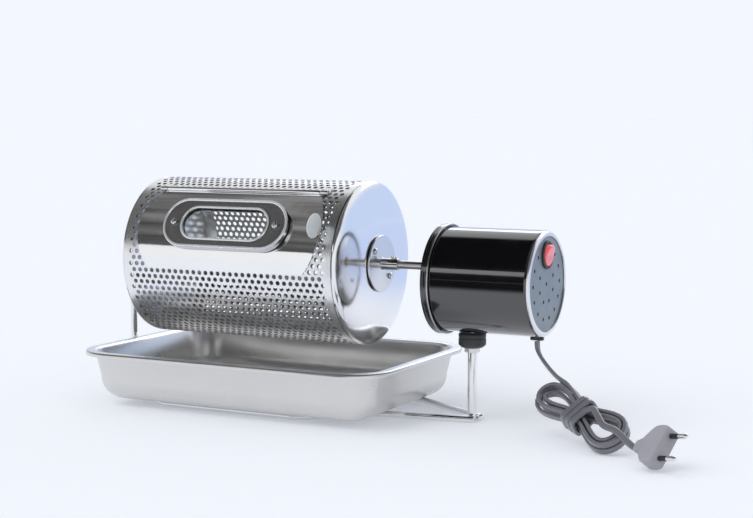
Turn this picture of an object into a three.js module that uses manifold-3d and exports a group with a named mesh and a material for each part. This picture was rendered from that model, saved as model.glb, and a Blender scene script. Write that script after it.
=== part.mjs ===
// Home coffee roaster: a steel drum on a wire stand, turned by a gear motor over a bean tray.
// Millimetres. X runs along the drum to the motor, -Y is the door side, the floor is z = 0.
import * as THREE from "three";
import { mergeVertices } from "three/addons/utils/BufferGeometryUtils.js";
import Module from "manifold-3d";

const wasm = await Module();
wasm.setup();

// Fits shared by all pieces
const gap = 0.3; // between pieces that rest on each other
const overrun = 6; // how far a cutter passes out of what it cuts

// Drum shell, closed by a dished cap at each end
const drumRadius = 70;
const drumLength = 207;
const shellWall = 0.8;
const axisHeight = 128; // drum axis above the floor
const capWall = 1;
const capSkirt = 8; // part of the cap that plugs into the shell
const capRim = 2.5; // straight part outside the shell
const capShoulder = 6;
const capCrown = 1.5; // rise of the cap's middle over its shoulder
const crownShare = 0.5; // of the cap's flat part, where its crown has a middle ring

// Stirring vanes in the drum
const vaneHeight = 14;
const vaneFoot = 8;
const vaneWall = 1;
const vaneAngles = [110, 200, 300]; // degrees up from the front

// Shafts and hubs
const shaftRadius = 3.5;
const hubRadius = 24.4;
const hubWall = 1.5;
const collarRadius = 4.9;
const collarLength = 16;
const hubScrewCircle = 18;
const hubScrewAngle = 140; // degrees from the back, over the top
const setScrewAt = 11; // from the hub plate along the collar

// Door in the drum, hung on a pin along its upper edge
const doorWall = 1;
const doorStandOff = 0.5; // between shell and door
const doorLow = -4.4; // degrees up from the front
const hingeAngle = 58;
const doorMargin = 12.5; // from its widest place to the shell's end
const doorBulge = 14; // how far its ends curve out past its straight edges
const doorCover = 6; // how far the door laps over the opening
const knuckleRadius = 2.1;
const knuckleBore = 1.25;
const pinRadius = 1;
const doorShort = 1.15; // from the pin to the sheet's upper edge
const endKnuckle = 7;
const hingeFootArc = 8; // degrees of drum that a hinge foot covers
const tabRadius = 11.25;
const tabWall = 1.2;
const tabInset = 2; // from the door's widest place
const tabRise = 10.7; // of its middle over the door
const tabAngle = 25;

// Window in the door
const windowAngle = 27;
const bezelLength = 123;
const bezelHeight = 45;
const bezelRise = 6; // of its flat face over the door
const bezelLip = 1.4;
const glassSeat = 3; // how far the glass reaches under the lip
const glassWall = 2.5;
const sightLength = 84;
const sightHeight = 27;
const windowScrewSpread = 101;

// Round wire stand
const rodRadius = 3;
const rodPastPost = 4;
const rightPostRadius = 3.75;
const leftPostRadius = 3;
const postClear = 8.4; // from the left hub's collar to the eye on its post
const rodBend = 14; // length of each bend along the straight parts
const rodSpread = 66; // from the drum's axis to each rod's long side
// Corners of the rods, as shares of the nearer post's X and of the spread
const frontCornerShares = [[0.59, -0.33], [0.36, -1], [-0.5, -1], [-0.745, -0.33]];
const rearCornerShares = [[0.64, 0.82], [0.45, 1], [-0.5, 1], [-0.745, 0.36]];
const eyeRadius = 9;
const eyeWidth = 10;
const bushWall = 2.2;
const studRadius = 2.5;
const studPastNut = 1;

// Clamp knob and collar under the motor
const knobRadius = 11.5;
const knobHeight = 12;
const knobChamfer = 1;
const knobTopGap = 0.5;
const lockRadius = 6.5;
const lockHeight = 4;
const nutRadius = 4.6;
const nutHeight = 3.2;

// Motor can
const canRadius = 43.5;
const canWall = 1;
const canDrop = 9.7; // can centre under the drum axis
const shaftShown = 40.9; // from the right hub's collar to the lid
const postInset = 27; // from the lid's front to the post under the can
const glandInset = 84.5; // from the lid's front to the cord's strain relief
const lidRadius = 46;
const lidWall = 1.2;
const lidSkirt = 6;
const canLength = 93.4; // from the lid's front to the rear edge
const canShoulder = 5;
const rearLip = 38;
const plateLap = 1.5; // how far the rear plate reaches under the lip
const plateWall = 1.2;
const ventRadius = 1.4;
const ventRings = [[0, 1], [15.5, 8], [29, 14]]; // radius and count

// Gear motor in the can
const caseRadius = 30;
const caseWall = 1.2;
const caseFace = 2;
const gearSpace = 16;
const divider = 1.5;
const motorBack = 32;
const bushRadius = 6;
const bushPast = 1;
const gearPitchRadius = 17.5;
const gearTeeth = 28;
const pinionTeeth = 8;
const gearWidth = 7;
const gearBack = 1.5;
const toothRoot = 1.25; // in modules, under the pitch circle
const toothTip = 0.9; // in modules, over the pitch circle
const gearModule = (2 * gearPitchRadius) / gearTeeth;
const flankShares = [[-0.27, 0], [-0.1, 1], [0.1, 1], [0.27, 0]]; // of a tooth's pitch and of its height
const rotorRadius = 11.5;
const rotorShaft = 1.6;
const rotorEnd = 2;
const motorScrewAt = [20, -13]; // beside and above the can centre

// Rocker switch in the rear plate
const switchRise = 23.6; // above the can centre
const switchFlange = 11.5;
const switchFlangeWall = 1.6;
const switchBarrel = 10;
const switchWall = 0.5;
const switchDepth = 16;
const rockerRadius = 8.7;
const rockerTilt = 12; // degrees each way
const rockerPeak = 3.4;
const rockerEdge = 1.2;

// Screws
const screwShank = 1.5;
const screwHole = 1.9;
const screwLength = 7;
const screwHead = 2.8;
const screwHeadHeight = 1.8;

// Tray under the drum
const trayLength = 298;
const trayDepth = 203;
const trayHeight = 43.5;
const trayClear = 3.5; // from the left post to the tray
const trayY = -4;
const trayWall = 1;
const trayCorner = 38;
const trayFlange = 8;
const trayDraft = 5; // how far the walls lean in
const trayBottomRadius = 20;
const trayLip = 4;
const trayLipRound = 1.5;

// Flat twin cord, tied in a hank, with a flat two pin plug
const cordWidth = 5.4;
const cordThick = 3.2;
const glandNeck = 3.4;
const glandBar = [11, 5.4, 2.6];
const hankTop = [270, -20, 34.8];
const hankEnd = [353, -72, 11.4];
const hankTurn = 38; // degrees that its width leans up from level
const hankTurns = 2; // in each of its two layers
const hankPitch = 4.2; // between loops side by side
const hankLayer = 6; // between the layers
const hankWaist = 7.4;
const hankLobes = [13.5, 15.5]; // half widths at the top and at the lower end
const lobeBlend = 0.25; // how softly the waist opens into the lobes
const hankSwerve = 1.5; // extra inward at the reversal
const hankStart = -0.1; // in turns
const hankEndShare = 0.055; // of a turn, before the waist
const climbShare = 0.15; // of a turn, before and after the reversal
const wrapTurns = 2.72;
const wrapPitch = 5.9;
const wrapRound = 3.7; // corner radius of the wraps
const wrapSide = 8.6; // half of their long straight sides
const wrapEdge = 4.2; // half of their short ones
const wrapSquare = 2.5; // how soon they turn from one side into the next
const wrapStart = -8; // degrees
const plugFace = [397.5, -106.5, 18.2];
const plugTurn = [-39.1, -10.9, -37]; // degrees about its own X, Y and Z
const plugLength = 34;
const plugWall = 13;
const plugBevel = 1.5;
const plugNeck = 9;
const plugWidth = 32;
const pinSpread = 19;
const pinLength = 19;
const plugPinRadius = 2;

// Facets
const roundSides = 36;
const smallSides = 12;
const shellSides = 72;
const screwSides = 10;
const hexSides = 6;
const rodSides = 8;
const cordSides = 8;
const hankSides = 6;
const roundSteps = 3; // in a small round edge
const bendSteps = 4;
const doorSteps = 20;
const trayBendSteps = 5;
const trayCornerPoints = 7;
const loopSteps = 24;
const leadSteps = 10;
const tailSteps = 20;
const fineSteps = 1200; // for measuring the hank
const quarter = 90; // degrees

const degrees = Math.PI / (2 * quarter);

// Colours and finishes
function finish(color, roughness, metalness) {
  return new THREE.MeshStandardMaterial({ color, roughness, metalness });
}
const polishedSteel = finish(0xd8dbe0, 0.12, 1);
const satinSteel = finish(0xc9cacb, 0.35, 1);
const screwSteel = finish(0xb9bcc0, 0.25, 1);
const blackEnamel = finish(0x0b0b0c, 0.15, 0);
const greyEnamel = finish(0x6f7d84, 0.4, 0);
const darkPlastic = finish(0x3b3f44, 0.4, 0);
const redPlastic = finish(0xe8404a, 0.25, 0);
const bronze = finish(0xa77b45, 0.35, 1);
const greyCord = finish(0x8b8d99, 0.55, 0);
const greyPlug = finish(0xbcbbc4, 0.5, 0);
const clearGlass = finish(0xeef4f2, 0.05, 0);

// Makes one closed body: welded corners, no empty faces, faces pointing out
function closed(geometry) {
  const bare = geometry.index ? geometry.toNonIndexed() : geometry.clone();
  bare.deleteAttribute("normal");
  bare.deleteAttribute("uv");
  const welded = mergeVertices(bare, 1e-4);
  const index = Array.from(welded.index.array);
  const at = welded.attributes.position;
  const point = (k) => new THREE.Vector3().fromBufferAttribute(at, k);
  const faces = [];
  let volume = 0;
  for (let k = 0; k < index.length; k += 3) {
    const [a, b, c] = index.slice(k, k + 3);
    if (a === b || b === c || c === a) continue;
    faces.push([a, b, c]);
    volume += point(a).dot(point(b).cross(point(c)));
  }
  welded.setIndex(faces.flatMap(([a, b, c]) => (volume < 0 ? [a, c, b] : [a, b, c])));
  return welded;
}

function toSolid(geometry) {
  const body = closed(geometry);
  const vertProperties = new Float32Array(body.attributes.position.array);
  const triVerts = new Uint32Array(body.index.array);
  return new wasm.Manifold(new wasm.Mesh({ numProp: 3, vertProperties, triVerts }));
}

function fromSolid(solid) {
  const mesh = solid.getMesh();
  const geometry = new THREE.BufferGeometry();
  geometry.setAttribute("position", new THREE.Float32BufferAttribute(mesh.vertProperties, 3));
  geometry.setIndex(Array.from(mesh.triVerts));
  return geometry;
}

function cut(geometry, ...tools) {
  return fromSolid(tools.reduce((solid, tool) => solid.subtract(toSolid(tool)), toSolid(geometry)));
}
function join(geometry, ...others) {
  return fromSolid(others.reduce((solid, other) => solid.add(toSolid(other)), toSolid(geometry)));
}
const common = (geometry, other) => fromSolid(toSolid(geometry).intersect(toSolid(other)));

// Turns a profile of [radius, place along X] about the X axis; a ring's profile closes on itself
function turned(profile, sides = roundSides) {
  const ring = profile.every(([r]) => r > 0) ? [...profile, profile[0]] : profile;
  const geometry = new THREE.LatheGeometry(ring.map(([r, x]) => new THREE.Vector2(r, x)), sides);
  return geometry.rotateZ(-Math.PI / 2);
}

const disc = (radius, x0, x1, sides) => turned([[0, x0], [radius, x0], [radius, x1], [0, x1]], sides);
function ring(inner, outer, x0, x1, sides) {
  return turned([[inner, x0], [outer, x0], [outer, x1], [inner, x1]], sides);
}
const upright = (geometry) => geometry.rotateY(-Math.PI / 2);

function arc(centreR, centreX, radius, from, to, steps) {
  return Array.from({ length: steps + 1 }, (_, k) => {
    const angle = (from + ((to - from) * k) / steps) * degrees;
    return [centreR + radius * Math.cos(angle), centreX + radius * Math.sin(angle)];
  });
}

// A stadium outline in its own plane, extruded along Z
function stadium(length, height, z0, z1, sides = 10) {
  const radius = height / 2;
  const outline = new THREE.Shape();
  outline.absarc(length / 2 - radius, 0, radius, -Math.PI / 2, Math.PI / 2);
  outline.absarc(radius - length / 2, 0, radius, Math.PI / 2, (3 * Math.PI) / 2);
  const options = { depth: z1 - z0, bevelEnabled: false, curveSegments: sides };
  return new THREE.ExtrudeGeometry(outline, options).translate(0, 0, z0);
}

// A strip along the drum between two angles, as wide as halfWidth says at each angle
function curvedStrip(inner, outer, low, high, halfWidth, steps) {
  const corners = [];
  for (let k = 0; k <= steps; k++) {
    const share = k / steps;
    const angle = (low + (high - low) * share) * degrees;
    const half = halfWidth(share);
    for (const [radius, x] of [[inner, -half], [inner, half], [outer, half], [outer, -half]]) {
      corners.push(x, -radius * Math.cos(angle), radius * Math.sin(angle));
    }
  }
  return skinned(corners, 4, steps + 1);
}

// Closes a body over a row of rings, each with the same number of points, with flat ends
function skinned(corners, points, rings, endless = false) {
  const faces = [];
  const last = endless ? rings : rings - 1;
  for (let k = 0; k < last; k++) {
    const here = k * points;
    const next = ((k + 1) % rings) * points;
    for (let j = 0; j < points; j++) {
      const side = (j + 1) % points;
      faces.push(here + j, here + side, next + side, here + j, next + side, next + j);
    }
  }
  if (!endless) {
    const top = (rings - 1) * points;
    for (let j = 1; j < points - 1; j++) {
      faces.push(0, j + 1, j, top, top + j, top + j + 1);
    }
  }
  const geometry = new THREE.BufferGeometry();
  geometry.setAttribute("position", new THREE.Float32BufferAttribute(corners, 3));
  geometry.setIndex(faces);
  return geometry;
}

// Puts a piece made with its outside along +Z on the drum, at an angle up from the front
function onDrum(geometry, angle) {
  return geometry.rotateX((quarter - angle) * degrees);
}

function screw(length = screwLength) {
  const dome = arc(screwHead - screwHeadHeight, 0, screwHeadHeight, 0, quarter, 2);
  const shank = [[0, -length], [screwShank, -length], [screwShank, 0]];
  return turned([...shank, ...dome, [0, screwHeadHeight]], screwSides);
}

const model = new THREE.Group();
const drum = new THREE.Group();
const motor = new THREE.Group();

function add(parent, name, geometry, material, position = [0, 0, 0]) {
  const mesh = new THREE.Mesh(closed(geometry), material);
  mesh.name = name;
  mesh.position.set(...position);
  parent.add(mesh);
  return mesh;
}

// Places along the drum's axis, from the drum's middle
const capShoulderX = gap + capRim;
const capFace = capShoulderX + capShoulder;
const capTop = capFace + capCrown;
const hubFace = gap + hubWall;
const collarEnd = drumLength / 2 + capTop + hubFace + collarLength;
const leftPostX = -(collarEnd + postClear + eyeWidth / 2);
const lidFace = collarEnd + shaftShown;
const rightPostX = lidFace + postInset;
const glandX = lidFace + glandInset;
const trayX = leftPostX + leftPostRadius + trayClear + trayLength / 2;

// Door, as wide as its rounded ends say
const doorInner = drumRadius + doorStandOff;
const doorOuter = doorInner + doorWall;
const hingeRadius = doorInner + knuckleRadius;
const doorHigh = hingeAngle - doorShort / doorOuter / degrees;
const doorHalfArc = ((doorHigh - doorLow) * degrees * doorOuter) / 2;
const doorHalfWidth = drumLength / 2 - doorMargin;
const doorHalfEdge = doorHalfWidth - doorBulge;
const bezelTop = doorOuter + bezelRise;
const doorEndRadius = (doorHalfArc ** 2 + doorBulge ** 2) / (2 * doorBulge);
const doorHalf = (share) => {
  const along = (2 * share - 1) * doorHalfArc;
  return doorHalfWidth - doorEndRadius + Math.sqrt(doorEndRadius ** 2 - along ** 2);
};
const hingeY = -hingeRadius * Math.cos(hingeAngle * degrees);
const hingeZ = hingeRadius * Math.sin(hingeAngle * degrees);
const alongHinge = (geometry) => geometry.translate(0, hingeY, hingeZ);

// Drum shell with the door's opening
function drumShell() {
  const half = drumLength / 2;
  const shell = ring(drumRadius - shellWall, drumRadius, -half, half, shellSides);
  const lap = doorCover / drumRadius / degrees;
  const opening = (share) => doorHalf(share) - doorCover;
  const low = doorLow + lap;
  const high = hingeAngle - lap;
  const doorway = curvedStrip(drumRadius - overrun, drumRadius + overrun, low, high, opening, smallSides);
  return cut(shell, doorway);
}

// Dished cap on the +X end of the drum, measured from the shell's edge
const hubScrewPlace = [hubScrewAngle, hubScrewAngle + 180].map((angle) => [
  hubScrewCircle * Math.cos(angle * degrees),
  hubScrewCircle * Math.sin(angle * degrees),
]);

function hubScrewHoles(x0, x1) {
  return hubScrewPlace.map(([y, z]) => disc(screwHole, x0, x1, smallSides).translate(0, y, z));
}

function cap() {
  const shoulderR = drumRadius - capShoulder;
  const plug = drumRadius - shellWall - gap;
  const hole = shaftRadius + gap;
  const outside = arc(shoulderR, capShoulderX, capShoulder, 0, quarter, roundSteps);
  const inside = arc(shoulderR, capShoulderX, capShoulder - capWall, quarter, 0, roundSteps);
  const crown = (r, lift) => [r, capFace + lift + capCrown * (1 - (r / shoulderR) ** 2)];
  const middle = crownShare * shoulderR;
  const profile = [
    [plug, -capSkirt],
    [plug, gap],
    [drumRadius, gap],
    ...outside,
    crown(middle, 0),
    crown(hole, 0),
    crown(hole, -capWall),
    crown(middle, -capWall),
    ...inside.map(([r, x]) => [Math.min(r, plug - capWall), x]),
    [plug - capWall, -capSkirt],
  ];
  const holes = hubScrewHoles(0, capTop + overrun);
  return cut(turned(profile), ...holes);
}

// Hub plate with a collar on it, measured from the cap's top
function hub() {
  const bore = shaftRadius + gap;
  const end = hubFace + collarLength;
  const plate = [[bore, gap], [hubRadius, gap], [hubRadius, hubFace]];
  const collar = [[collarRadius, hubFace], [collarRadius, end], [bore, end]];
  const holes = hubScrewHoles(-overrun, overrun);
  const setHole = upright(disc(screwHole, 0, collarRadius + overrun, smallSides));
  setHole.translate(hubFace + setScrewAt, 0, 0);
  return cut(turned([...plate, ...collar], 2 * smallSides), ...holes, setHole);
}

// Each end of the drum: cap, hub and its screws, turned about for the left end
const stubEnd = leftPostX - eyeWidth / 2 - rodRadius;
const lidInner = lidFace + lidWall;
const caseFront = lidInner + gap;
const gearAt = caseFront + caseFace + gearBack;
const shaftEnd = gearAt + gearWidth + gearBack;
const shaftInner = drumLength / 2 + capTop - 2 * capWall;
for (const [side, turn] of [["right", 0], ["left", Math.PI]]) {
  const end = new THREE.Group();
  end.rotation.z = turn;
  drum.add(end);
  const edge = drumLength / 2;
  const top = edge + capTop;
  add(end, `cap_${side}`, cap(), polishedSteel, [edge, 0, 0]);
  add(end, `hub_plate_${side}`, hub(), satinSteel, [top, 0, 0]);
  hubScrewPlace.forEach(([y, z], k) => {
    add(end, `hub_screw_${side}_${k + 1}`, screw(), screwSteel, [top + hubFace + gap, y, z]);
  });
  const reach = collarRadius - shaftRadius;
  const setScrew = upright(screw(reach));
  add(end, `set_screw_${side}`, setScrew, screwSteel, [top + hubFace + setScrewAt, 0, collarRadius + gap]);
}
add(drum, "drum_shell", drumShell(), polishedSteel);
add(drum, "drive_shaft", disc(shaftRadius, shaftInner, shaftEnd, smallSides), satinSteel);
add(drum, "stub_shaft", disc(shaftRadius, stubEnd, -shaftInner, smallSides), satinSteel);

// Stirring vanes inside the drum
const vaneHalf = drumLength / 2 - capSkirt - capWall;
const vaneSeat = Math.sqrt((drumRadius - shellWall - gap) ** 2 - vaneFoot ** 2);
vaneAngles.forEach((angle, k) => {
  const blade = new THREE.BoxGeometry(2 * vaneHalf, vaneWall, vaneHeight);
  blade.translate(0, vaneWall / 2, vaneSeat - vaneHeight / 2);
  const foot = new THREE.BoxGeometry(2 * vaneHalf, vaneFoot, vaneWall);
  foot.translate(0, vaneFoot / 2, vaneSeat - vaneWall / 2);
  add(drum, `stirring_vane_${k + 1}`, onDrum(join(blade, foot), angle), satinSteel);
});

// Door panel with its rolled knuckle, window opening and screw holes
const windowScrewPlace = [-windowScrewSpread / 2, windowScrewSpread / 2];
const screwHoles = () => windowScrewPlace.map((x) => {
  const hole = disc(screwHole, drumRadius - overrun, bezelTop + overrun, smallSides);
  return upright(hole).translate(x, 0, 0);
});
function doorPanel() {
  const sheet = curvedStrip(doorInner, doorOuter, doorLow, doorHigh, doorHalf, doorSteps);
  const knuckle = alongHinge(ring(knuckleBore, knuckleRadius, -doorHalfEdge, doorHalfEdge, smallSides));
  const sight = stadium(sightLength, sightHeight, 0, drumRadius + overrun);
  return cut(join(sheet, knuckle), ...[sight, ...screwHoles()].map((tool) => onDrum(tool, windowAngle)));
}
add(drum, "door_panel", doorPanel(), polishedSteel);

const pinHalf = doorHalfEdge + gap + endKnuckle;
add(drum, "hinge_pin", alongHinge(disc(pinRadius, -pinHalf, pinHalf, smallSides)), satinSteel);
for (const [side, sign] of [["left", -1], ["right", 1]]) {
  const inner = sign * (doorHalfEdge + gap);
  const outer = inner + sign * endKnuckle;
  const [x0, x1] = [Math.min(inner, outer), Math.max(inner, outer)];
  const loop = alongHinge(ring(knuckleBore, knuckleRadius, x0, x1, smallSides));
  const start = hingeAngle + knuckleBore / hingeRadius / degrees;
  const end = hingeAngle + hingeFootArc;
  const footInner = drumRadius + gap;
  const foot = curvedStrip(footInner, footInner + doorWall, start, end, () => endKnuckle / 2, roundSteps);
  add(drum, `hinge_foot_${side}`, join(loop, foot.translate((x0 + x1) / 2, 0, 0)), satinSteel);
}

// Round tab for opening the door, square to the drum's axis
function doorTab() {
  const plate = disc(tabRadius, -tabWall / 2, tabWall / 2, 2 * smallSides);
  plate.translate(0, 0, doorOuter + tabRise);
  return onDrum(cut(plate, disc(doorOuter + gap, -overrun, overrun, 2 * roundSides)), tabAngle);
}
add(drum, "door_tab", doorTab(), polishedSteel, [doorHalfWidth - tabInset, 0, 0]);

// Window: a flat frame whose underside follows the door, over a pane of glass
function windowFrame() {
  const block = stadium(bezelLength, bezelHeight, drumRadius - overrun, bezelTop);
  const door = disc(doorOuter + gap, -drumLength, drumLength, 2 * roundSides);
  const sight = stadium(sightLength, sightHeight, 0, bezelTop + overrun);
  const seat = 2 * (glassSeat + gap);
  const pocket = stadium(sightLength + seat, sightHeight + seat, 0, bezelTop - bezelLip);
  return onDrum(cut(block, door, sight, pocket, ...screwHoles()), windowAngle);
}
add(drum, "window_frame", windowFrame(), satinSteel);
const glassTop = bezelTop - bezelLip - gap;
const glassSize = [sightLength, sightHeight].map((size) => size + 2 * glassSeat);
const pane = stadium(...glassSize, glassTop - glassWall, glassTop);
add(drum, "window_glass", onDrum(pane, windowAngle), clearGlass);
windowScrewPlace.forEach((x, k) => {
  const stood = upright(screw()).translate(x, 0, bezelTop + gap);
  add(drum, `window_screw_${k + 1}`, onDrum(stood, windowAngle), screwSteel);
});
drum.position.z = axisHeight;
model.add(drum);

// Stand: two bent rods on the floor, a post at each end
const rodFlat = rodRadius * Math.cos(Math.PI / rodSides); // from a rod's middle to its flats

// Where a rod ends that passes a post, touching it, on its way from a corner
function pastPost(postX, postRadius, [x, y], side) {
  const offset = postRadius + rodRadius + gap;
  const reach = Math.hypot(postX - x, y);
  const direction = Math.atan2(-y, postX - x) + side * Math.asin(offset / reach);
  const run = Math.sqrt(reach ** 2 - offset ** 2) + rodPastPost;
  return [x + run * Math.cos(direction), y + run * Math.sin(direction)];
}

// A rod on the floor past both posts, straight between its corners, each corner rounded
function floorRod(shares, side) {
  const corners = shares.map(([x, y]) => [Math.abs(x) * (x > 0 ? rightPostX : leftPostX), y * rodSpread]);
  const right = pastPost(rightPostX, rightPostRadius, corners[0], side);
  const left = pastPost(leftPostX, leftPostRadius, corners.at(-1), -side);
  const line = [right, ...corners, left].map(([x, y]) => new THREE.Vector2(x, y));
  const beside = (k, other) => line[k].clone().lerp(line[other], rodBend / line[k].distanceTo(line[other]));
  const bends = corners.flatMap((_, k) => {
    const bend = new THREE.QuadraticBezierCurve(beside(k + 1, k), line[k + 1], beside(k + 1, k + 2));
    return bend.getPoints(bendSteps);
  });
  const path = [line[0], ...bends, line.at(-1)];
  const section = path.flatMap((point, k) => {
    const way = path[Math.min(k + 1, path.length - 1)].clone().sub(path[Math.max(k - 1, 0)]).normalize();
    return Array.from({ length: rodSides }, (_, j) => {
      const angle = ((2 * j + 1) * Math.PI) / rodSides;
      const out = rodRadius * Math.cos(angle);
      return [point.x - way.y * out, point.y + way.x * out, rodFlat + rodRadius * Math.sin(angle)];
    }).flat();
  });
  return skinned(section, rodSides, path.length);
}
add(model, "base_rod_front", floorRod(frontCornerShares, -1), polishedSteel);
add(model, "base_rod_rear", floorRod(rearCornerShares, 1), polishedSteel);

// Right post, with the stud that carries the motor can
const canZ = axisHeight - canDrop;
const canBottom = canZ - canRadius;
const knobTop = canBottom - knobTopGap;
const knobBottom = knobTop - knobHeight;
const lockBottom = knobBottom - gap - lockHeight;
const postTop = lockBottom - gap;
const nutBottom = canBottom + canWall + 2 * gap;
const studTop = nutBottom + nutHeight + studPastNut;
const postProfile = [
  [0, 0],
  [rightPostRadius, 0],
  [rightPostRadius, postTop],
  [studRadius, postTop],
  [studRadius, studTop],
  [0, studTop],
];
add(model, "post_right", upright(turned(postProfile, smallSides)), polishedSteel, [rightPostX, 0, 0]);
const studBore = studRadius + gap;
const lock = ring(studBore, lockRadius, lockBottom, lockBottom + lockHeight, smallSides);
add(model, "lock_collar", upright(lock), satinSteel, [rightPostX, 0, 0]);
const grip = knobRadius - knobChamfer;
const knobProfile = [
  [studBore, knobBottom],
  [grip, knobBottom],
  [knobRadius, knobBottom + knobChamfer],
  [knobRadius, knobTop - knobChamfer],
  [grip, knobTop],
  [studBore, knobTop],
];
add(model, "clamp_knob", upright(turned(knobProfile, 2 * smallSides)), darkPlastic, [rightPostX, 0, 0]);
const nutBlock = disc(nutRadius, nutBottom, nutBottom + nutHeight, hexSides);
const nut = cut(nutBlock, disc(studBore, nutBottom - overrun, studTop + overrun, smallSides));
add(model, "stud_nut", upright(nut), screwSteel, [rightPostX, 0, 0]);

// Left post, with the eye and bush that carry the stub shaft
const bushInner = shaftRadius + gap;
const bushOuter = bushInner + bushWall;
const eyeBore = bushOuter + gap;
function leftPost() {
  const rod = upright(disc(leftPostRadius, 0, axisHeight - (eyeRadius + eyeBore) / 2, smallSides));
  const eye = ring(eyeBore, eyeRadius, -eyeWidth / 2, eyeWidth / 2, 2 * smallSides);
  return join(rod, eye.translate(0, 0, axisHeight));
}
add(model, "post_left", leftPost(), polishedSteel, [leftPostX, 0, 0]);
const bushHalf = eyeWidth / 2 + gap;
const stubBush = ring(bushInner, bushOuter, -bushHalf, bushHalf, 2 * smallSides);
add(model, "stub_bush", stubBush, bronze, [leftPostX, 0, axisHeight]);

// Motor can with its lid and rear plate, about the can's own axis
const canFront = lidInner + gap;
const canBack = lidFace + canLength;
function bottomHole(radius, x) {
  return upright(disc(radius, 0, canRadius + overrun, smallSides)).rotateX(Math.PI).translate(x, 0, 0);
}
function motorCan() {
  const bendR = canRadius - canShoulder;
  const bendX = canBack - canShoulder;
  const profile = [
    [canRadius, canFront],
    ...arc(bendR, bendX, canShoulder, 0, quarter, roundSteps),
    [rearLip, canBack],
    [rearLip, canBack - canWall],
    ...arc(bendR, bendX, canShoulder - canWall, quarter, 0, roundSteps),
    [canRadius - canWall, canFront],
  ];
  return cut(turned(profile), bottomHole(studBore, rightPostX), bottomHole(glandNeck + gap, glandX));
}
add(motor, "motor_can", motorCan(), blackEnamel);

const motorScrewPlace = [-1, 1].map((side) => [side * motorScrewAt[0], motorScrewAt[1]]);
const throughFront = (radius, y, z) => {
  const hole = disc(radius, lidFace - overrun, caseFront + caseFace + overrun, smallSides);
  return hole.translate(0, y, z);
};
const motorScrewHoles = () => motorScrewPlace.map(([y, z]) => throughFront(screwHole, y, z));
const bushHole = () => throughFront(bushRadius + gap, 0, canDrop);
function frontLid() {
  const cover = canRadius + gap;
  const outside = [[0, lidFace], [lidRadius, lidFace], [lidRadius, lidFace + lidSkirt]];
  const inside = [[cover, lidFace + lidSkirt], [cover, lidInner], [0, lidInner]];
  return cut(turned([...outside, ...inside]), bushHole(), ...motorScrewHoles());
}
add(motor, "motor_lid", frontLid(), blackEnamel);
motorScrewPlace.forEach(([y, z], k) => {
  const turnedScrew = screw(lidWall + caseFace + 3 * gap).rotateZ(Math.PI);
  add(motor, `motor_screw_${k + 1}`, turnedScrew, screwSteel, [lidFace - gap, y, z]);
});

// Rear plate with vents, none of them under the switch
const plateBack = canBack - canWall - gap;
const switchHole = switchBarrel + gap;
function rearPlate() {
  const plate = disc(rearLip + plateLap, plateBack - plateWall, plateBack, roundSides);
  const onRing = ([radius, count]) => Array.from({ length: count }, (_, k) => {
    const angle = ((k + 0.5) / count) * 2 * Math.PI;
    return [radius * Math.sin(angle), -radius * Math.cos(angle)];
  });
  const besideSwitch = ([y, z]) => Math.hypot(y, z - switchRise) > switchFlange + 2 * ventRadius;
  const hole = (radius, y, z, sides) => {
    return disc(radius, plateBack - overrun, plateBack + overrun, sides).translate(0, y, z);
  };
  const ventPlaces = ventRings.flatMap(onRing).filter(besideSwitch);
  const vents = ventPlaces.map(([y, z]) => hole(ventRadius, y, z, hexSides));
  return cut(plate, hole(switchHole, 0, switchRise, 2 * smallSides), ...vents);
}
add(motor, "rear_plate", rearPlate(), greyEnamel);

// Switch body and its rocker, which tips about Y
const flangeFace = plateBack + gap + switchFlangeWall;
const switchBore = switchBarrel - switchWall;
function switchBody() {
  const back = flangeFace - switchDepth;
  const profile = [
    [0, back],
    [switchBarrel, back],
    [switchBarrel, plateBack + gap],
    [switchFlange, plateBack + gap],
    [switchFlange, flangeFace],
    [switchBore, flangeFace],
    [switchBore, back + 2 * switchWall],
    [0, back + 2 * switchWall],
  ];
  return turned(profile, 2 * smallSides);
}
add(motor, "switch_body", switchBody(), darkPlastic, [0, 0, switchRise]);
const rockerPivot = flangeFace - rockerEdge;
function rocker() {
  const half = rockerRadius;
  const bend = Math.tan(rockerTilt * degrees) * half;
  const outline = new THREE.Shape([
    new THREE.Vector2(-rockerPeak, -half),
    new THREE.Vector2(rockerPeak, -half),
    new THREE.Vector2(rockerPeak - bend / 2, 0),
    new THREE.Vector2(rockerPeak, half),
    new THREE.Vector2(-rockerPeak, half),
  ]);
  const bar = new THREE.ExtrudeGeometry(outline, { depth: 2 * half, bevelEnabled: false });
  bar.translate(0, 0, -half);
  const round = disc(half, -2 * rockerPeak, 2 * rockerPeak, 2 * smallSides);
  return common(bar.rotateX(Math.PI / 2), round).rotateY(rockerTilt * degrees);
}
add(motor, "switch_rocker", rocker(), redPlastic, [rockerPivot, 0, switchRise]);

// Gear motor: gear case, divider, stator case and rotor, with the drum shaft above their middle
function gearShape(teeth, width, bore, turn) {
  const pitch = (teeth * gearModule) / 2;
  const root = pitch - toothRoot * gearModule;
  const height = (toothRoot + toothTip) * gearModule;
  const step = (2 * Math.PI) / teeth;
  const tooth = (_, k) => flankShares.map(([share, rise]) => {
    const angle = turn + (k + share) * step;
    const radius = root + rise * height;
    return new THREE.Vector2(radius * Math.cos(angle), radius * Math.sin(angle));
  });
  const outline = new THREE.Shape(Array.from({ length: teeth }, tooth).flat());
  if (bore) outline.holes.push(new THREE.Path().absarc(0, 0, bore, 0, 2 * Math.PI));
  const options = { depth: width, bevelEnabled: false, curveSegments: smallSides };
  const geometry = new THREE.ExtrudeGeometry(outline, options);
  return geometry.rotateY(Math.PI / 2);
}
const gearDistance = ((gearTeeth + pinionTeeth) * gearModule) / 2;
const pinionZ = canDrop - gearDistance;
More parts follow.
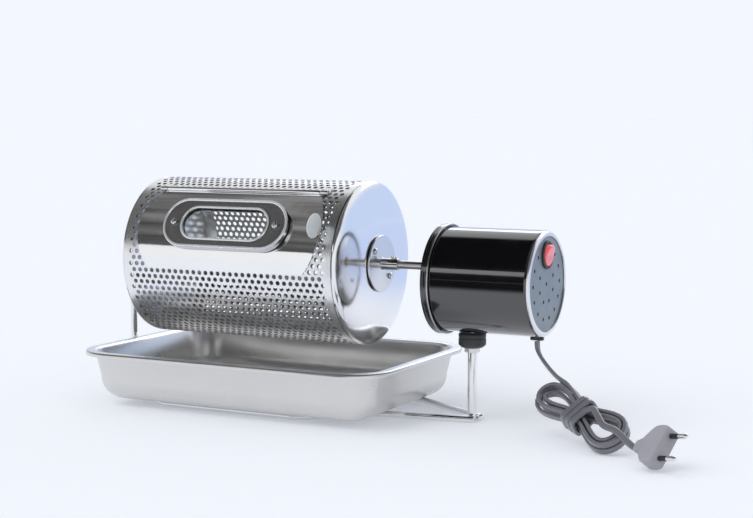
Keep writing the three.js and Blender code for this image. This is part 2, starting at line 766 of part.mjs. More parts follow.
const dividerAt = caseFront + caseFace + gearSpace;
const caseEnd = dividerAt + divider + gap;
const caseBore = caseRadius - caseWall;
const caseProfile = (face, inner, open) => [
  [0, face],
  [caseRadius, face],
  [caseRadius, open],
  [caseBore, open],
  [caseBore, inner],
  [0, inner],
];
const gearCase = turned(caseProfile(caseFront, caseFront + caseFace, caseEnd), 2 * smallSides);
add(motor, "gear_case", cut(gearCase, bushHole(), ...motorScrewHoles()), satinSteel);
const shaftBush = ring(bushInner, bushRadius, lidFace - bushPast, caseFront + caseFace, smallSides);
add(motor, "shaft_bush", shaftBush, bronze, [0, 0, canDrop]);
const rotorHole = (x) => {
  return disc(rotorShaft + gap, x - overrun, x + overrun, smallSides).translate(0, 0, pinionZ);
};
const dividerPlate = disc(caseBore - 2 * gap, dividerAt, dividerAt + divider, 2 * smallSides);
add(motor, "gear_divider", cut(dividerPlate, rotorHole(dividerAt)), satinSteel);
const statorFront = caseEnd + gap;
const statorBack = statorFront + motorBack;
const statorCase = turned(caseProfile(statorBack, statorBack - caseFace, statorFront), 2 * smallSides);
add(motor, "stator_case", cut(statorCase, rotorHole(statorBack)), satinSteel);
const rotorFront = statorFront + rotorEnd;
const rotorBack = statorBack - caseFace - rotorEnd;
const rotorProfile = [
  [0, gearAt + gearWidth],
  [rotorShaft, gearAt + gearWidth],
  [rotorShaft, rotorFront],
  [rotorRadius, rotorFront],
  [rotorRadius, rotorBack],
  [rotorShaft, rotorBack],
  [rotorShaft, statorBack],
  [0, statorBack],
];
const pinion = gearShape(pinionTeeth, gearWidth + gap, 0, 0).translate(gearAt, 0, 0);
const rotorBody = join(turned(rotorProfile, smallSides), pinion);
add(motor, "motor_rotor", rotorBody, satinSteel, [0, 0, pinionZ]);
motor.position.z = canZ;
model.add(motor);
const driveGear = gearShape(gearTeeth, gearWidth, shaftRadius + gap, Math.PI / gearTeeth);
add(drum, "drive_gear", driveGear, bronze, [gearAt, 0, 0]);

// Tray: rings of rounded rectangles, inside from floor to rim and back down outside
const trayBottom = 2 * rodFlat + gap;
const trayRim = trayBottom + trayHeight;
function tray() {
  const wallIn = trayFlange + trayDraft;
  const bendIn = wallIn + trayBottomRadius;
  const inside = [];
  for (let k = 0; k <= trayBendSteps; k++) {
    const angle = ((k * quarter) / trayBendSteps) * degrees;
    const radius = trayBottomRadius - trayWall;
    const height = trayBottom + trayBottomRadius - radius * Math.cos(angle);
    inside.push([bendIn - radius * Math.sin(angle), height]);
  }
  inside.push([trayFlange + trayWall + trayLipRound, trayRim - trayLipRound - trayWall]);
  inside.push([trayFlange + trayWall / 2, trayRim]);
  const outside = [
    [trayLipRound, trayRim],
    [trayLipRound / 3, trayRim - trayLipRound / 3],
    [0, trayRim - trayLipRound],
    [0, trayRim - trayLip],
    [trayWall, trayRim - trayLip],
    [trayWall, trayRim - trayLipRound - trayWall / 2],
    [trayLipRound + trayWall, trayRim - trayWall],
    [trayFlange - trayWall, trayRim - trayWall],
    [trayFlange, trayRim - trayLipRound - trayWall],
  ];
  for (let k = trayBendSteps; k >= 0; k--) {
    const angle = ((k * quarter) / trayBendSteps) * degrees;
    const rise = trayBottomRadius * (1 - Math.cos(angle));
    outside.push([bendIn - trayBottomRadius * Math.sin(angle), trayBottom + rise]);
  }
  const corners = [...inside, ...outside].flatMap(([inset, z]) => roundedRectangle(inset, z));
  return skinned(corners, 4 * trayCornerPoints, inside.length + outside.length);
}
function roundedRectangle(inset, z) {
  const radius = trayCorner - inset;
  const points = [];
  for (const [sx, sy, corner] of [[1, 1, 0], [-1, 1, 1], [-1, -1, 2], [1, -1, 3]]) {
    for (let k = 0; k < trayCornerPoints; k++) {
      const angle = (corner + k / (trayCornerPoints - 1)) * quarter * degrees;
      const x = sx * (trayLength / 2 - trayCorner) + radius * Math.cos(angle);
      const y = sy * (trayDepth / 2 - trayCorner) + radius * Math.sin(angle);
      points.push(x, y, z);
    }
  }
  return points;
}
add(model, "bean_tray", tray(), satinSteel, [trayX, trayY, 0]);

// Cord: strain relief, lead, hank, wraps, tail and plug
const vector = (p) => new THREE.Vector3(...p);
function strainRelief() {
  const neckTop = canBottom + canWall + glandNeck;
  const bar = new THREE.BoxGeometry(...glandBar).translate(0, 0, canBottom - gap - glandBar[2] / 2);
  const neck = upright(disc(glandNeck, canBottom - gap - glandBar[2] / 2, neckTop, smallSides));
  return join(bar, neck);
}
add(model, "strain_relief", strainRelief(), darkPlastic, [glandX, 0, 0]);

// Flat cord along points, its width held along the direction that wide gives at each of them
function flatCord(points, wide, sides) {
  const corners = [];
  const last = points.length - 1;
  points.forEach((point, k) => {
    const along = points[Math.min(k + 1, last)].clone().sub(points[Math.max(k - 1, 0)]).normalize();
    const across = wide(k, along).clone();
    across.addScaledVector(along, -across.dot(along)).normalize();
    const thick = along.clone().cross(across);
    for (let j = 0; j < sides; j++) {
      const angle = ((2 * j + 1) * Math.PI) / sides;
      const corner = point.clone();
      corner.addScaledVector(across, (cordWidth / 2) * Math.cos(angle));
      corner.addScaledVector(thick, (cordThick / 2) * Math.sin(angle));
      corners.push(corner.x, corner.y, corner.z);
    }
  });
  return skinned(corners, sides, points.length);
}

// The hank's own directions: along it, across its width, and through its layers
const hankAlong = vector(hankEnd).sub(vector(hankTop)).normalize();
const level = new THREE.Vector3(-hankAlong.y, hankAlong.x, 0).normalize();
const hankAcross = level.clone().applyAxisAngle(hankAlong, hankTurn * degrees);
const hankThrough = hankAlong.clone().cross(hankAcross);
const hankMiddle = vector(hankTop).lerp(vector(hankEnd), 0.5);
const hankHalf = vector(hankTop).distanceTo(vector(hankEnd)) / 2;
function inHank(along, across, through) {
  const point = hankMiddle.clone().addScaledVector(hankAlong, along);
  return point.addScaledVector(hankAcross, across).addScaledVector(hankThrough, through);
}

// Outer line of the hank: narrow at the waist, a lobe at each end
const lobeShape = (s) => (s * s) / Math.sqrt(s * s + lobeBlend);
const lobeAt = (_, k) => [Math.cos(k * degrees), lobeShape(Math.sin(k * degrees))];
const lobeSweep = Array.from({ length: quarter }, lobeAt);
const widest = lobeSweep.reduce((best, at) => (at[0] * at[1] > best[0] * best[1] ? at : best));
function hankLine(turn) {
  const angle = 2 * Math.PI * turn;
  const [c, s] = [Math.cos(angle), Math.sin(angle)];
  const lobe = (hankLobes[s < 0 ? 0 : 1] - widest[0] * hankWaist) / (widest[0] * widest[1]);
  return [hankHalf * s, c * (hankWaist + lobe * lobeShape(s))];
}

// The loops lie inside that line, spiral in on the front layer and out again on the back one
function hankPoint(turn) {
  const step = 1e-3;
  const [x, y] = hankLine(turn);
  const [ax, ay] = hankLine(turn - step);
  const [bx, by] = hankLine(turn + step);
  const length = Math.hypot(bx - ax, by - ay);
  const reversal = hankTurns - 0.25;
  const climb = THREE.MathUtils.smoothstep(turn, reversal - climbShare, reversal + climbShare);
  const nearby = THREE.MathUtils.clamp(2 * (turn - reversal) + 0.5, 0, 1);
  const swerve = hankSwerve * Math.sin(Math.PI * nearby) ** 2;
  const inset = hankPitch * (reversal - Math.abs(turn - reversal)) + swerve;
  const [inX, inY] = [((by - ay) / length) * inset, ((bx - ax) / length) * inset];
  return inHank(x + inX, y - inY, hankLayer * (0.5 - climb));
}
const hankStop = 2 * hankTurns - hankEndShare;
const hankSpan = hankStop - hankStart;
function hankRun(steps) {
  return Array.from({ length: steps + 1 }, (_, k) => hankPoint(hankStart + (hankSpan * k) / steps));
}
const hankPoints = hankRun(Math.round(hankSpan * loopSteps));

// Least distance between stretches of the cord that are more than reach apart along it
function leastGap(points, reach) {
  let least = Infinity;
  const along = [0];
  for (let k = 1; k < points.length; k++) along.push(along[k - 1] + points[k].distanceTo(points[k - 1]));
  for (let k = 0; k < points.length; k++) {
    for (let j = k + 1; j < points.length; j++) {
      if (along[j] - along[k] < reach) continue;
      const apart = points[j].clone().sub(points[k]);
      const through = Math.abs(apart.dot(hankThrough));
      const across = Math.sqrt(Math.max(0, apart.lengthSq() - through ** 2));
      const over = Math.max(0, through - cordWidth);
      const beside = Math.max(0, across - cordThick);
      least = Math.min(least, Math.hypot(over, beside));
    }
  }
  return least;
}
const lineLength = (points) => points.reduce((sum, p, k) => (k ? sum + p.distanceTo(points[k - 1]) : 0), 0);
const fineHank = hankRun(fineSteps);
const hankGap = leastGap(fineHank, 4 * cordWidth);
console.log("hank: least gap to itself", hankGap.toFixed(2), "mm");
add(model, "cord_hank", flatCord(hankPoints, () => hankThrough, hankSides), greyCord);

// A line's way out past one end, and a smooth line through points
const wayOut = (points) => points.at(-1).clone().sub(points.at(-2)).normalize();
function smooth(points, steps) {
  return new THREE.CatmullRomCurve3(points, false, "centripetal").getSpacedPoints(steps);
}

// Lead from the strain relief to the hank's first loop
const glandEnd = canBottom - gap - glandBar[2];
const leadIn = wayOut([hankPoints[1], hankPoints[0]]);
const leadEnd = hankPoints[0].clone().addScaledVector(leadIn, gap);
const leadPoints = smooth([
  vector([glandX, 0, glandEnd - 2 * gap]),
  vector([glandX + 1, -0.5, glandEnd - 8]),
  vector([glandX + 4.4, -1.5, glandEnd - 13.7]),
  vector([glandX + 20.5, -11.5, glandEnd - 25.6]),
  leadEnd.clone().addScaledVector(leadIn, 3.5),
  leadEnd,
], leadSteps);
add(model, "cord_lead", flatCord(leadPoints, () => hankThrough, cordSides), greyCord);

// Wraps round the hank's waist, from its back layer to its front: rounded oblongs
const oblong = (share) => THREE.MathUtils.clamp(wrapSquare * share, -1, 1);
function wrapPoint(turn) {
  const angle = (wrapStart - 360 * turn) * degrees;
  const [c, s] = [Math.cos(angle), Math.sin(angle)];
  const across = wrapSide * oblong(c) + wrapRound * c;
  return inHank((turn - wrapTurns / 2) * wrapPitch, across, wrapEdge * oblong(s) + wrapRound * s);
}
const wrapFront = wrapEdge + wrapRound;
const hankOut = wayOut(hankPoints);
const wrapSteps = Math.round(wrapTurns * loopSteps);
const wrapTurn = Array.from({ length: wrapSteps + 1 }, (_, k) => wrapPoint((wrapTurns * k) / wrapSteps));
const wrapFirst = hankPoints.at(-1).clone().addScaledVector(hankOut, gap);
const wrapLead = smooth([
  wrapFirst,
  wrapFirst.clone().addScaledVector(hankOut, 2),
  inHank(-11.4, wrapSide + wrapRound, -2.4),
  wrapTurn[1],
  wrapTurn[2],
], leadSteps).slice(0, -2);
const wrapPoints = [...wrapLead, ...wrapTurn.slice(2)];
const wrapWide = (k, along) => (k < wrapLead.length ? along.clone().cross(hankAcross) : hankAlong);
add(model, "cord_wrap", flatCord(wrapPoints, wrapWide, hankSides), greyCord);

// Tail from the last wrap over the lower lobe to the plug
const plug = new THREE.Group();
plug.position.set(...plugFace);
plug.rotation.set(...plugTurn.map((angle) => angle * degrees), "ZYX");
const plugWay = vector([1, 0, 0]).applyEuler(plug.rotation);
const plugRear = vector(plugFace).addScaledVector(plugWay, -plugLength - gap);
const wrapOut = wayOut(wrapPoints);
const tailFirst = wrapPoints.at(-1).clone().addScaledVector(wrapOut, 2 * gap);
const tailPoints = smooth([
  tailFirst,
  tailFirst.clone().addScaledVector(wrapOut, 2),
  inHank(12.5, 6.5, wrapFront + 0.3),
  inHank(19, 5, wrapFront + 0.6),
  inHank(34, 0, wrapFront + 1),
  inHank(48, 1, wrapFront + 2),
  plugRear.clone().addScaledVector(plugWay, -5),
  plugRear,
], tailSteps);
const tailWide = (k, along) => hankThrough.clone().cross(along);
add(model, "cord_tail", flatCord(tailPoints, tailWide, cordSides), greyCord);
const stretches = { lead: leadPoints, hank: fineHank, wraps: wrapPoints, tail: tailPoints };
const stretchLengths = Object.entries(stretches).map(([name, points]) => [name, lineLength(points)]);
const cordLength = stretchLengths.reduce((sum, [, length]) => sum + length, 0);
console.log("cord:", stretchLengths.map(([name, length]) => `${name} ${length.toFixed(0)}`).join(", "));
console.log("cord length", cordLength.toFixed(0), "mm");

// Plug: a flat body with two pins, standing on its edge
function plugBody() {
  const half = plugWidth / 2;
  const halfShares = [[-1, plugNeck / 2 / half], [-0.72, 0.36], [-0.42, 0.95], [-0.15, 1], [0, 0.92]];
  const upper = halfShares.map(([x, z]) => new THREE.Vector2(x * plugLength, z * half));
  const lower = upper.map((p) => new THREE.Vector2(p.x, -p.y)).reverse();
  const inner = plugWall - 2 * plugBevel;
  const bevel = { bevelThickness: plugBevel, bevelSize: plugBevel, bevelOffset: -plugBevel };
  const options = { depth: inner, ...bevel, bevelSegments: 2 };
  const body = new THREE.ExtrudeGeometry(new THREE.Shape([...upper, ...lower]), options);
  return body.translate(0, 0, -inner / 2).rotateX(Math.PI / 2);
}
add(plug, "plug_body", plugBody(), greyPlug);
[-1, 1].forEach((side, k) => {
  const tip = arc(0, pinLength - plugPinRadius, plugPinRadius, 0, quarter, roundSteps);
  const pin = turned([[0, gap], [plugPinRadius, gap], ...tip], smallSides);
  add(plug, `plug_pin_${k + 1}`, pin, screwSteel, [0, 0, (side * pinSpread) / 2]);
});
model.add(plug);

// The origin is the middle of the bottom of the box round everything but the cord and plug
model.updateMatrixWorld(true);
const bare = new THREE.Box3();
model.traverse((piece) => {
  if (piece.isMesh && !/^(cord|plug)_/.test(piece.name)) bare.expandByObject(piece, true);
});
const middle = bare.getCenter(new THREE.Vector3());
model.position.set(-middle.x, -middle.y, -bare.min.z);

export default model;
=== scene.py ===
# Home coffee roaster: finishes, fine shapes, studio and camera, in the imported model's frame.
# Lengths are millimetres until a piece is made.
from math import asin, atan2, copysign, cos, degrees, dist, hypot, pi, radians, sin, sqrt, tan

import bpy
from mathutils import Matrix, Vector
from mathutils.geometry import delaunay_2d_cdt


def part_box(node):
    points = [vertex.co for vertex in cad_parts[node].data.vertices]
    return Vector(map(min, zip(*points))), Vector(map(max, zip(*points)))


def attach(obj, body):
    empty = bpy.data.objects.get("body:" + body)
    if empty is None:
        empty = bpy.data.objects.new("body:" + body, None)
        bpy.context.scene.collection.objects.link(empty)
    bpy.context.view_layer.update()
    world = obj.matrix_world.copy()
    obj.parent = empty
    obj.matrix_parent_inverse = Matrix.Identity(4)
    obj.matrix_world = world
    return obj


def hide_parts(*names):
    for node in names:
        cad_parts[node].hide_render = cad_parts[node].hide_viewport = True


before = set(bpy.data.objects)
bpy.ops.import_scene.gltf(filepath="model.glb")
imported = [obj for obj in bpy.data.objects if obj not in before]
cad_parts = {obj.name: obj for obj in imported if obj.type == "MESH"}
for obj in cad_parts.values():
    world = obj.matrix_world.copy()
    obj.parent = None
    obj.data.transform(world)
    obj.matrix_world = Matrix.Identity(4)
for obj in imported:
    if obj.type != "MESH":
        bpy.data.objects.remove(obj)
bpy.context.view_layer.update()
MM = 0.001
MICRON = 0.000001
scene = bpy.context.scene


def box_of(node):
    low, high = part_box(node)
    return Vector(low) / MM, Vector(high) / MM


def middle_of(node):
    low, high = box_of(node)
    return (low + high) / 2


drum_middle = middle_of("drum_shell")
axis_y, axis_z = middle_of("cap_right").yz
DRUM = Vector((drum_middle.x, axis_y, axis_z))
CAN = Vector((box_of("motor_lid")[0].x, axis_y, middle_of("motor_lid").z))

# Nodes and the groups that the finishes share


def feed(tree, node, inputs):
    """Sets a node's inputs, by name or number, to plain values or links them to sockets."""
    for key, value in inputs.items():
        socket = node.inputs[key.replace("_", " ") if isinstance(key, str) else key]
        if isinstance(value, bpy.types.NodeSocket):
            tree.links.new(value, socket)
        else:
            socket.default_value = (*value, 1) if socket.type == "RGBA" else value


def add_node(tree, kind, *numbered, **named):
    """A node with its first inputs in order, and its settings and other inputs by name."""
    node = tree.nodes.new(kind)
    inputs = dict(enumerate(numbered))
    for key, value in named.items():
        if hasattr(node, key):
            setattr(node, key, value)
        else:
            inputs[key] = value
    feed(tree, node, inputs)
    return node


def maths(tree, operation, first, second):
    return add_node(tree, "ShaderNodeMath", first, second, operation=operation).outputs[0]


def times(tree, first, second):
    return maths(tree, "MULTIPLY", first, second)


def scaled(tree, place, by):
    """A place times its own factor along each axis."""
    return add_node(tree, "ShaderNodeVectorMath", place, by, operation="MULTIPLY").outputs[0]


def noise(tree, place, **values):
    return add_node(tree, "ShaderNodeTexNoise", Vector=place, **values).outputs[0]


def spread(tree, value, **ends):
    """Stretches one range of values over another."""
    return add_node(tree, "ShaderNodeMapRange", Value=value, **ends).outputs[0]


def mixed_colour(tree, factor, first, second):
    """A colour mix whose ends are plain colours or sockets."""
    mix = add_node(tree, "ShaderNodeMix", factor, data_type="RGBA")
    ends = [k for k, socket in enumerate(mix.inputs) if socket.type == "RGBA"]
    feed(tree, mix, dict(zip(ends, (first, second))))
    return [socket for socket in mix.outputs if socket.type == "RGBA"][0]


def new_group(name, inputs, outputs):
    """A shader group of plain numbers: its tree, what it is given, and the place on the object."""
    group = bpy.data.node_groups.new(name, "ShaderNodeTree")
    for label, value in inputs.items():
        socket = group.interface.new_socket(label, in_out="INPUT", socket_type="NodeSocketFloat")
        socket.default_value = value
    for label in outputs:
        group.interface.new_socket(label, in_out="OUTPUT", socket_type="NodeSocketFloat")
    place = add_node(group, "ShaderNodeTexCoord").outputs["Object"]
    return group, group.nodes.new("NodeGroupInput").outputs, place


def rough_between(group, given, value):
    """Spreads a noise over the group's own range of roughness."""
    return spread(group, value, From_Min=0.3, From_Max=0.7, To_Min=given["Low"], To_Max=given["High"])


def brushed_grain():
    """Fine lines drawn out along one direction, and slow smears of roughness."""
    inputs = {"Along X": 1, "Along Y": 1, "Along Z": 1, "Density": 900, "Low": 0.1, "High": 0.3, "Lines": 0.5}
    group, given, place = new_group("brushed_grain", inputs, ("Roughness", "Height"))
    along = add_node(group, "ShaderNodeCombineXYZ", *given[:3]).outputs[0]
    lines = noise(group, scaled(group, place, along), Scale=given["Density"], Detail=4.0, Roughness=0.65)
    smears = noise(group, place, Scale=35.0, Detail=3.0)
    both = add_node(group, "ShaderNodeMix", Factor=given["Lines"], A=smears, B=lines).outputs[0]
    add_node(group, "NodeGroupOutput", Roughness=rough_between(group, given, both), Height=lines)
    return group


def surface_marks():
    """Dust specks gathered in slow clouds, as a mask, and the clouds themselves."""
    inputs = {"Speck size": 900, "Amount": 0.5}
    group, given, place = new_group("surface_marks", inputs, ("Mask", "Cloud"))
    specks = noise(group, place, Scale=given["Speck size"], Detail=2.0)
    cloud = noise(group, place, Scale=22.0, Detail=4.0, Distortion=0.4)
    dust = times(group, spread(group, specks, From_Min=0.6, From_Max=0.72), cloud)
    add_node(group, "NodeGroupOutput", Mask=times(group, dust, given["Amount"]), Cloud=cloud)
    return group


def moulded_grain():
    """The fine pitted skin of moulded plastic."""
    inputs = {"Scale": 2500, "Low": 0.4, "High": 0.6}
    group, given, place = new_group("moulded_grain", inputs, ("Roughness", "Height"))
    pits = add_node(group, "ShaderNodeTexVoronoi", Vector=place, Scale=given["Scale"]).outputs["Distance"]
    soft = noise(group, place, Scale=60.0, Detail=5.0)
    add_node(group, "NodeGroupOutput", Roughness=rough_between(group, given, soft), Height=pits)
    return group


BRUSHED, MARKS, MOULDED = brushed_grain(), surface_marks(), moulded_grain()

# Finishes


def material(name, **values):
    made = bpy.data.materials.new(name)
    made.use_nodes = True
    shader = made.node_tree.nodes["Principled BSDF"]
    feed(made.node_tree, shader, values)
    return made, made.node_tree, shader


def placed(tree, group, *inputs):
    """The outputs of a group set among a tree's nodes, its inputs given in order."""
    return add_node(tree, "ShaderNodeGroup", *inputs, node_tree=group).outputs


def dressed(tree, shader, grain, mask, tints, relief, height=None):
    """Gives the shader two tints over a mask, the grain's roughness, and a relief in microns."""
    bump = add_node(tree, "ShaderNodeBump", Height=height or grain["Height"], Distance=relief * MICRON)
    colour = mixed_colour(tree, mask, *tints)
    feed(tree, shader, {"Base Color": colour, "Roughness": grain["Roughness"], "Normal": bump.outputs[0]})
    return bump


def steel(name, first, second, low, high, along, density, lines, relief, waves=0):
    """Steel: two tints, a range of roughness, its lines' way, density and share, and relief in microns."""
    made, tree, shader = material(name, Metallic=1.0)
    grain = placed(tree, BRUSHED, *along, density, low, high, lines)
    cloud = placed(tree, MARKS)["Cloud"]
    fine = dressed(tree, shader, grain, cloud, (first, second), relief)
    if waves:
        broad = add_node(tree, "ShaderNodeBump", Height=cloud, Distance=waves * MICRON)
        feed(tree, fine, {"Normal": broad.outputs[0]})
    return made


def plastic(name, first, second, low, high, scale=2500, relief=20, **values):
    """Moulded plastic or enamel from two tints, its range of roughness, its pits and other plain values."""
    made, tree, shader = material(name, **values)
    grain = placed(tree, MOULDED, scale, low, high)
    dressed(tree, shader, grain, placed(tree, MARKS)["Cloud"], (first, second), relief)
    return made


def gloss_black():
    """Black enamel under a hard clear coat, with dust on it and a faint swell."""
    coat = {"Coat_Weight": 1.0, "Coat_Roughness": 0.04, "Coat_IOR": 1.75}
    made, tree, shader = material("gloss_black_enamel", IOR=1.5, **coat)
    marks, tints = placed(tree, MARKS), ((0.004, 0.004, 0.005), (0.02, 0.02, 0.022))
    dressed(tree, shader, placed(tree, MOULDED, 500, 0.1, 0.2), marks["Mask"], tints, 30, marks["Cloud"])
    return made


def clear_glass():
    """Window glass with a few smears in its polish."""
    values = {"Base_Color": (0.97, 0.98, 0.97), "Transmission_Weight": 1.0, "IOR": 1.45}
    made, tree, shader = material("window_glass_clear", **values)
    feed(tree, shader, {"Roughness": spread(tree, placed(tree, MARKS, 500)["Mask"], To_Max=0.15)})
    return made


STEELS = (
    ("drum_steel", (0.82, 0.82, 0.83), (0.93, 0.93, 0.94), 0.22, 0.34, (1, 0.05, 0.05), 500, 0.6, 4),
    ("mirror_steel", (0.84, 0.85, 0.87), (0.90, 0.91, 0.93), 0.09, 0.16, (1, 1, 1), 60, 0.3, 30),
    # A darker copy of the drum's steel for its inside and the holes' walls: painted shade.
    ("inside_steel", (0.36, 0.355, 0.35), (0.46, 0.45, 0.44), 0.3, 0.45, (1, 0.2, 0.2), 500, 0.5, 6),
    ("door_steel", (0.87, 0.87, 0.87), (0.93, 0.93, 0.93), 0.04, 0.12, (0.02, 1, 1), 700, 0.7, 4, 120),
    ("plate_steel", (0.70, 0.70, 0.71), (0.78, 0.78, 0.78), 0.12, 0.25, (0.04, 1, 1), 900, 0.6, 6),
    ("rod_steel", (0.78, 0.78, 0.79), (0.86, 0.86, 0.87), 0.08, 0.2, (0.1, 1, 1), 600, 0.5, 5),
    ("post_steel", (0.80, 0.80, 0.81), (0.88, 0.88, 0.88), 0.08, 0.2, (1, 1, 0.1), 600, 0.5, 5),
    ("tray_steel", (0.70, 0.692, 0.675), (0.75, 0.742, 0.725), 0.26, 0.36, (0.1, 1, 1), 400, 0.35, 3),
    ("shaft_steel", (0.62, 0.60, 0.58), (0.74, 0.72, 0.7), 0.18, 0.32, (1, 0.15, 0.15), 900, 0.6, 10),
    ("ring_steel", (0.78, 0.78, 0.80), (0.86, 0.86, 0.88), 0.16, 0.3, (1, 0.1, 0.1), 500, 0.5, 6),
    ("bead_steel", (0.44, 0.44, 0.46), (0.54, 0.54, 0.56), 0.12, 0.25, (1, 0.1, 0.1), 500, 0.5, 6),
    ("bright_screw", (0.74, 0.74, 0.75), (0.84, 0.84, 0.85), 0.12, 0.28, (1, 1, 1), 800, 0.5, 10),
    ("oiled_bronze", (0.44, 0.29, 0.13), (0.56, 0.4, 0.2), 0.22, 0.4, (1, 1, 1), 700, 0.5, 10),
    ("window_satin", (0.50, 0.50, 0.51), (0.60, 0.60, 0.61), 0.17, 0.29, (0.04, 1, 1), 900, 0.6, 6),
)
(drum_steel, mirror_steel, inside_steel, door_steel, plate_steel, rod_steel, post_steel, tray_steel,
 shaft_steel, ring_steel, bead_steel, screw_steel, bronze, window_satin) = [steel(*row) for row in STEELS]
# A pale, half-metal copy of steel for the window plate's rolled rims and the post's collar: painted
# highlight.
painted_highlight_steel = plastic(
    "painted_highlight_steel", (0.82, 0.83, 0.84), (0.90, 0.90, 0.91), 0.2, 0.32, 700, 4, Metallic=0.55)
# Near-black for the window plate's skirts: painted shade of the gap between the plate and the door.
gap_painted_shade = plastic("window_gap_painted_shade", (0.012, 0.012, 0.013), (0.025, 0.025, 0.027), 0.5, 0.7)
tab_finish = plastic(
    "pale_matt_tab", (0.80, 0.84, 0.83), (0.88, 0.91, 0.90), 0.4, 0.5, 900, 5,
    Coat_Weight=0.2, Coat_Roughness=0.3)
dark_plastic = plastic("charcoal_plastic", (0.035, 0.037, 0.04), (0.055, 0.057, 0.062), 0.35, 0.55)
cord_grey = plastic(
    "grey_cord_skin", (0.15, 0.148, 0.172), (0.21, 0.208, 0.238), 0.28, 0.42, 1800, 10,
    Coat_Weight=0.8, Coat_Roughness=0.22, Coat_IOR=1.7)
plug_grey = plastic("pale_plug_plastic", (0.40, 0.392, 0.44), (0.47, 0.462, 0.505), 0.35, 0.5, 2200)
sleeve_black = plastic("pin_sleeve", (0.015, 0.015, 0.017), (0.025, 0.025, 0.03), 0.35, 0.5)
black_enamel = gloss_black()
back_enamel = plastic(
    "blue_grey_enamel", (0.2, 0.245, 0.27), (0.27, 0.32, 0.345), 0.3, 0.45, 1600,
    Metallic=0.3, Coat_Weight=0.4, Coat_Roughness=0.25)
# The rocker's red plastic also glows faintly red: a painted glow that brightens it, not a lamp.
red_lens_painted_glow = plastic(
    "clear_red_plastic_painted_glow", (0.95, 0.13, 0.17), (1.0, 0.24, 0.28), 0.12, 0.25, 700,
    Transmission_Weight=0.25, IOR=1.49, Coat_Weight=0.6, Coat_Roughness=0.05,
    Emission_Color=(1.0, 0.2, 0.25), Emission_Strength=0.15)
glass = clear_glass()

# Mesh builders


def turned(angle, axis):
    """A turn by an angle in degrees."""
    return Matrix.Rotation(radians(angle), 3, axis)


def polar(radius, angle):
    """A place on a circle at an angle in degrees."""
    return radius * cos(radians(angle)), radius * sin(radians(angle))


def round_angles(count):
    return [2 * pi * k / count for k in range(count)]


def clamped(value, low, high):
    return max(low, min(high, value))


def sides_of(loop):
    """Each point of a closed outline with the next."""
    return zip(loop, [*loop[1:], loop[0]])


def piece(name, points, faces, finish, body, stands_for="", sharp=32):
    """A mesh piece from points in mm, shaded smooth up to the sharp angle, riding on its body."""
    mesh = bpy.data.meshes.new(name)
    mesh.from_pydata([Vector(p) * MM for p in points], [], faces)
    mesh.validate()
    mesh.materials.append(finish)
    mesh.shade_smooth()
    mesh.set_sharp_from_angle(angle=radians(sharp))
    made = bpy.data.objects.new(name, mesh)
    scene.collection.objects.link(made)
    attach(made, body)
    if stands_for:
        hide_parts(*stands_for.split())
    return made


def bent(start, corner, end, steps):
    """A soft bend from start to end, drawn towards the corner."""
    shares = [k / steps for k in range(steps + 1)]
    return [start * (1 - t) ** 2 + corner * 2 * t * (1 - t) + end * t * t for t in shares]


def ways_along(path):
    """The direction of a path at each of its points."""
    last = len(path) - 1
    return [(path[min(k + 1, last)] - path[max(k - 1, 0)]).normalized() for k in range(last + 1)]


def rounded(corners, radius, steps=3, loop=True):
    """A polygon's corners, rounded as far as its sides allow; a third number is a corner's own radius."""
    made = []
    count = len(corners)
    for k, corner in enumerate(corners):
        here = Vector(corner[:2])
        back = Vector(corners[k - 1][:2]) - here
        on = Vector(corners[(k + 1) % count][:2]) - here
        own = corner[2] if len(corner) > 2 else radius
        kept = own <= 0 or (not loop and k in (0, count - 1)) or min(back.length, on.length) < 1e-6
        if kept or back.angle(on) / 2 > radians(88):
            made.append(tuple(here))
            continue
        reach = min(own / tan(back.angle(on) / 2), 0.48 * back.length, 0.48 * on.length)
        start, end = here + back.normalized() * reach, here + on.normalized() * reach
        made += [tuple(p) for p in bent(start, here, end, steps)]
    return made


def rod_profile(radius, low, high, first_edge, last_edge=None):
    """Half the outline of a solid rod, with its two edges rounded."""
    last_edge = first_edge if last_edge is None else last_edge
    return rounded([(0, low), (radius, low, first_edge), (radius, high, last_edge), (0, high)], 0, 3, False)


def tube_profile(inner, outer, low, high, inner_edge, outer_edge):
    """The cut through one side of a tube, with its edges rounded."""
    bore = [(outer, high, outer_edge), (inner, high, inner_edge)]
    return rounded([(inner, low, inner_edge), (outer, low, outer_edge), *bore], 0)


def along_arc(r, x, radius, start, end, steps):
    """Points of an arc about (r, x), from one angle to another."""
    made = []
    for k in range(steps + 1):
        across, along = polar(radius, start + (end - start) * k / steps)
        made.append((r + across, x + along))
    return made


AXES = {"X": Matrix.Identity(3), "-X": turned(180, "Z"), "Z": turned(-90, "Y")}


def spun(profile, centre, axis="X", sides=96):
    """Points and faces of a profile of (radius, place along) turned about an axis through centre."""
    turn = AXES[axis] if isinstance(axis, str) else axis
    points, faces, rows = [], [], []
    for r, x in profile:
        if r < 1e-6:
            rows.append([len(points)] * sides)
            points.append(Vector(centre) + turn @ Vector((x, 0, 0)))
            continue
        rows.append(list(range(len(points), len(points) + sides)))
        for angle in round_angles(sides):
            points.append(Vector(centre) + turn @ Vector((x, r * cos(angle), r * sin(angle))))
    pairs = list(zip(rows, rows[1:]))
    if profile[0][0] > 1e-6:
        pairs.append((rows[-1], rows[0]))
    for a, b in pairs:
        for k in range(sides):
            j = (k + 1) % sides
            face = list(dict.fromkeys([a[k], b[k], b[j], a[j]]))
            if len(face) > 2:
                faces.append(face)
    return points, faces


def turned_piece(name, profile, centre, finish, body, stands_for="", axis="X", sides=96, sharp=32):
    return piece(name, *spun(profile, centre, axis, sides), finish, body, stands_for, sharp)


def merged(*parts):
    points, faces = [], []
    for more_points, more_faces in parts:
        start = len(points)
        points += list(more_points)
        faces += [[start + k for k in face] for face in more_faces]
    return points, faces


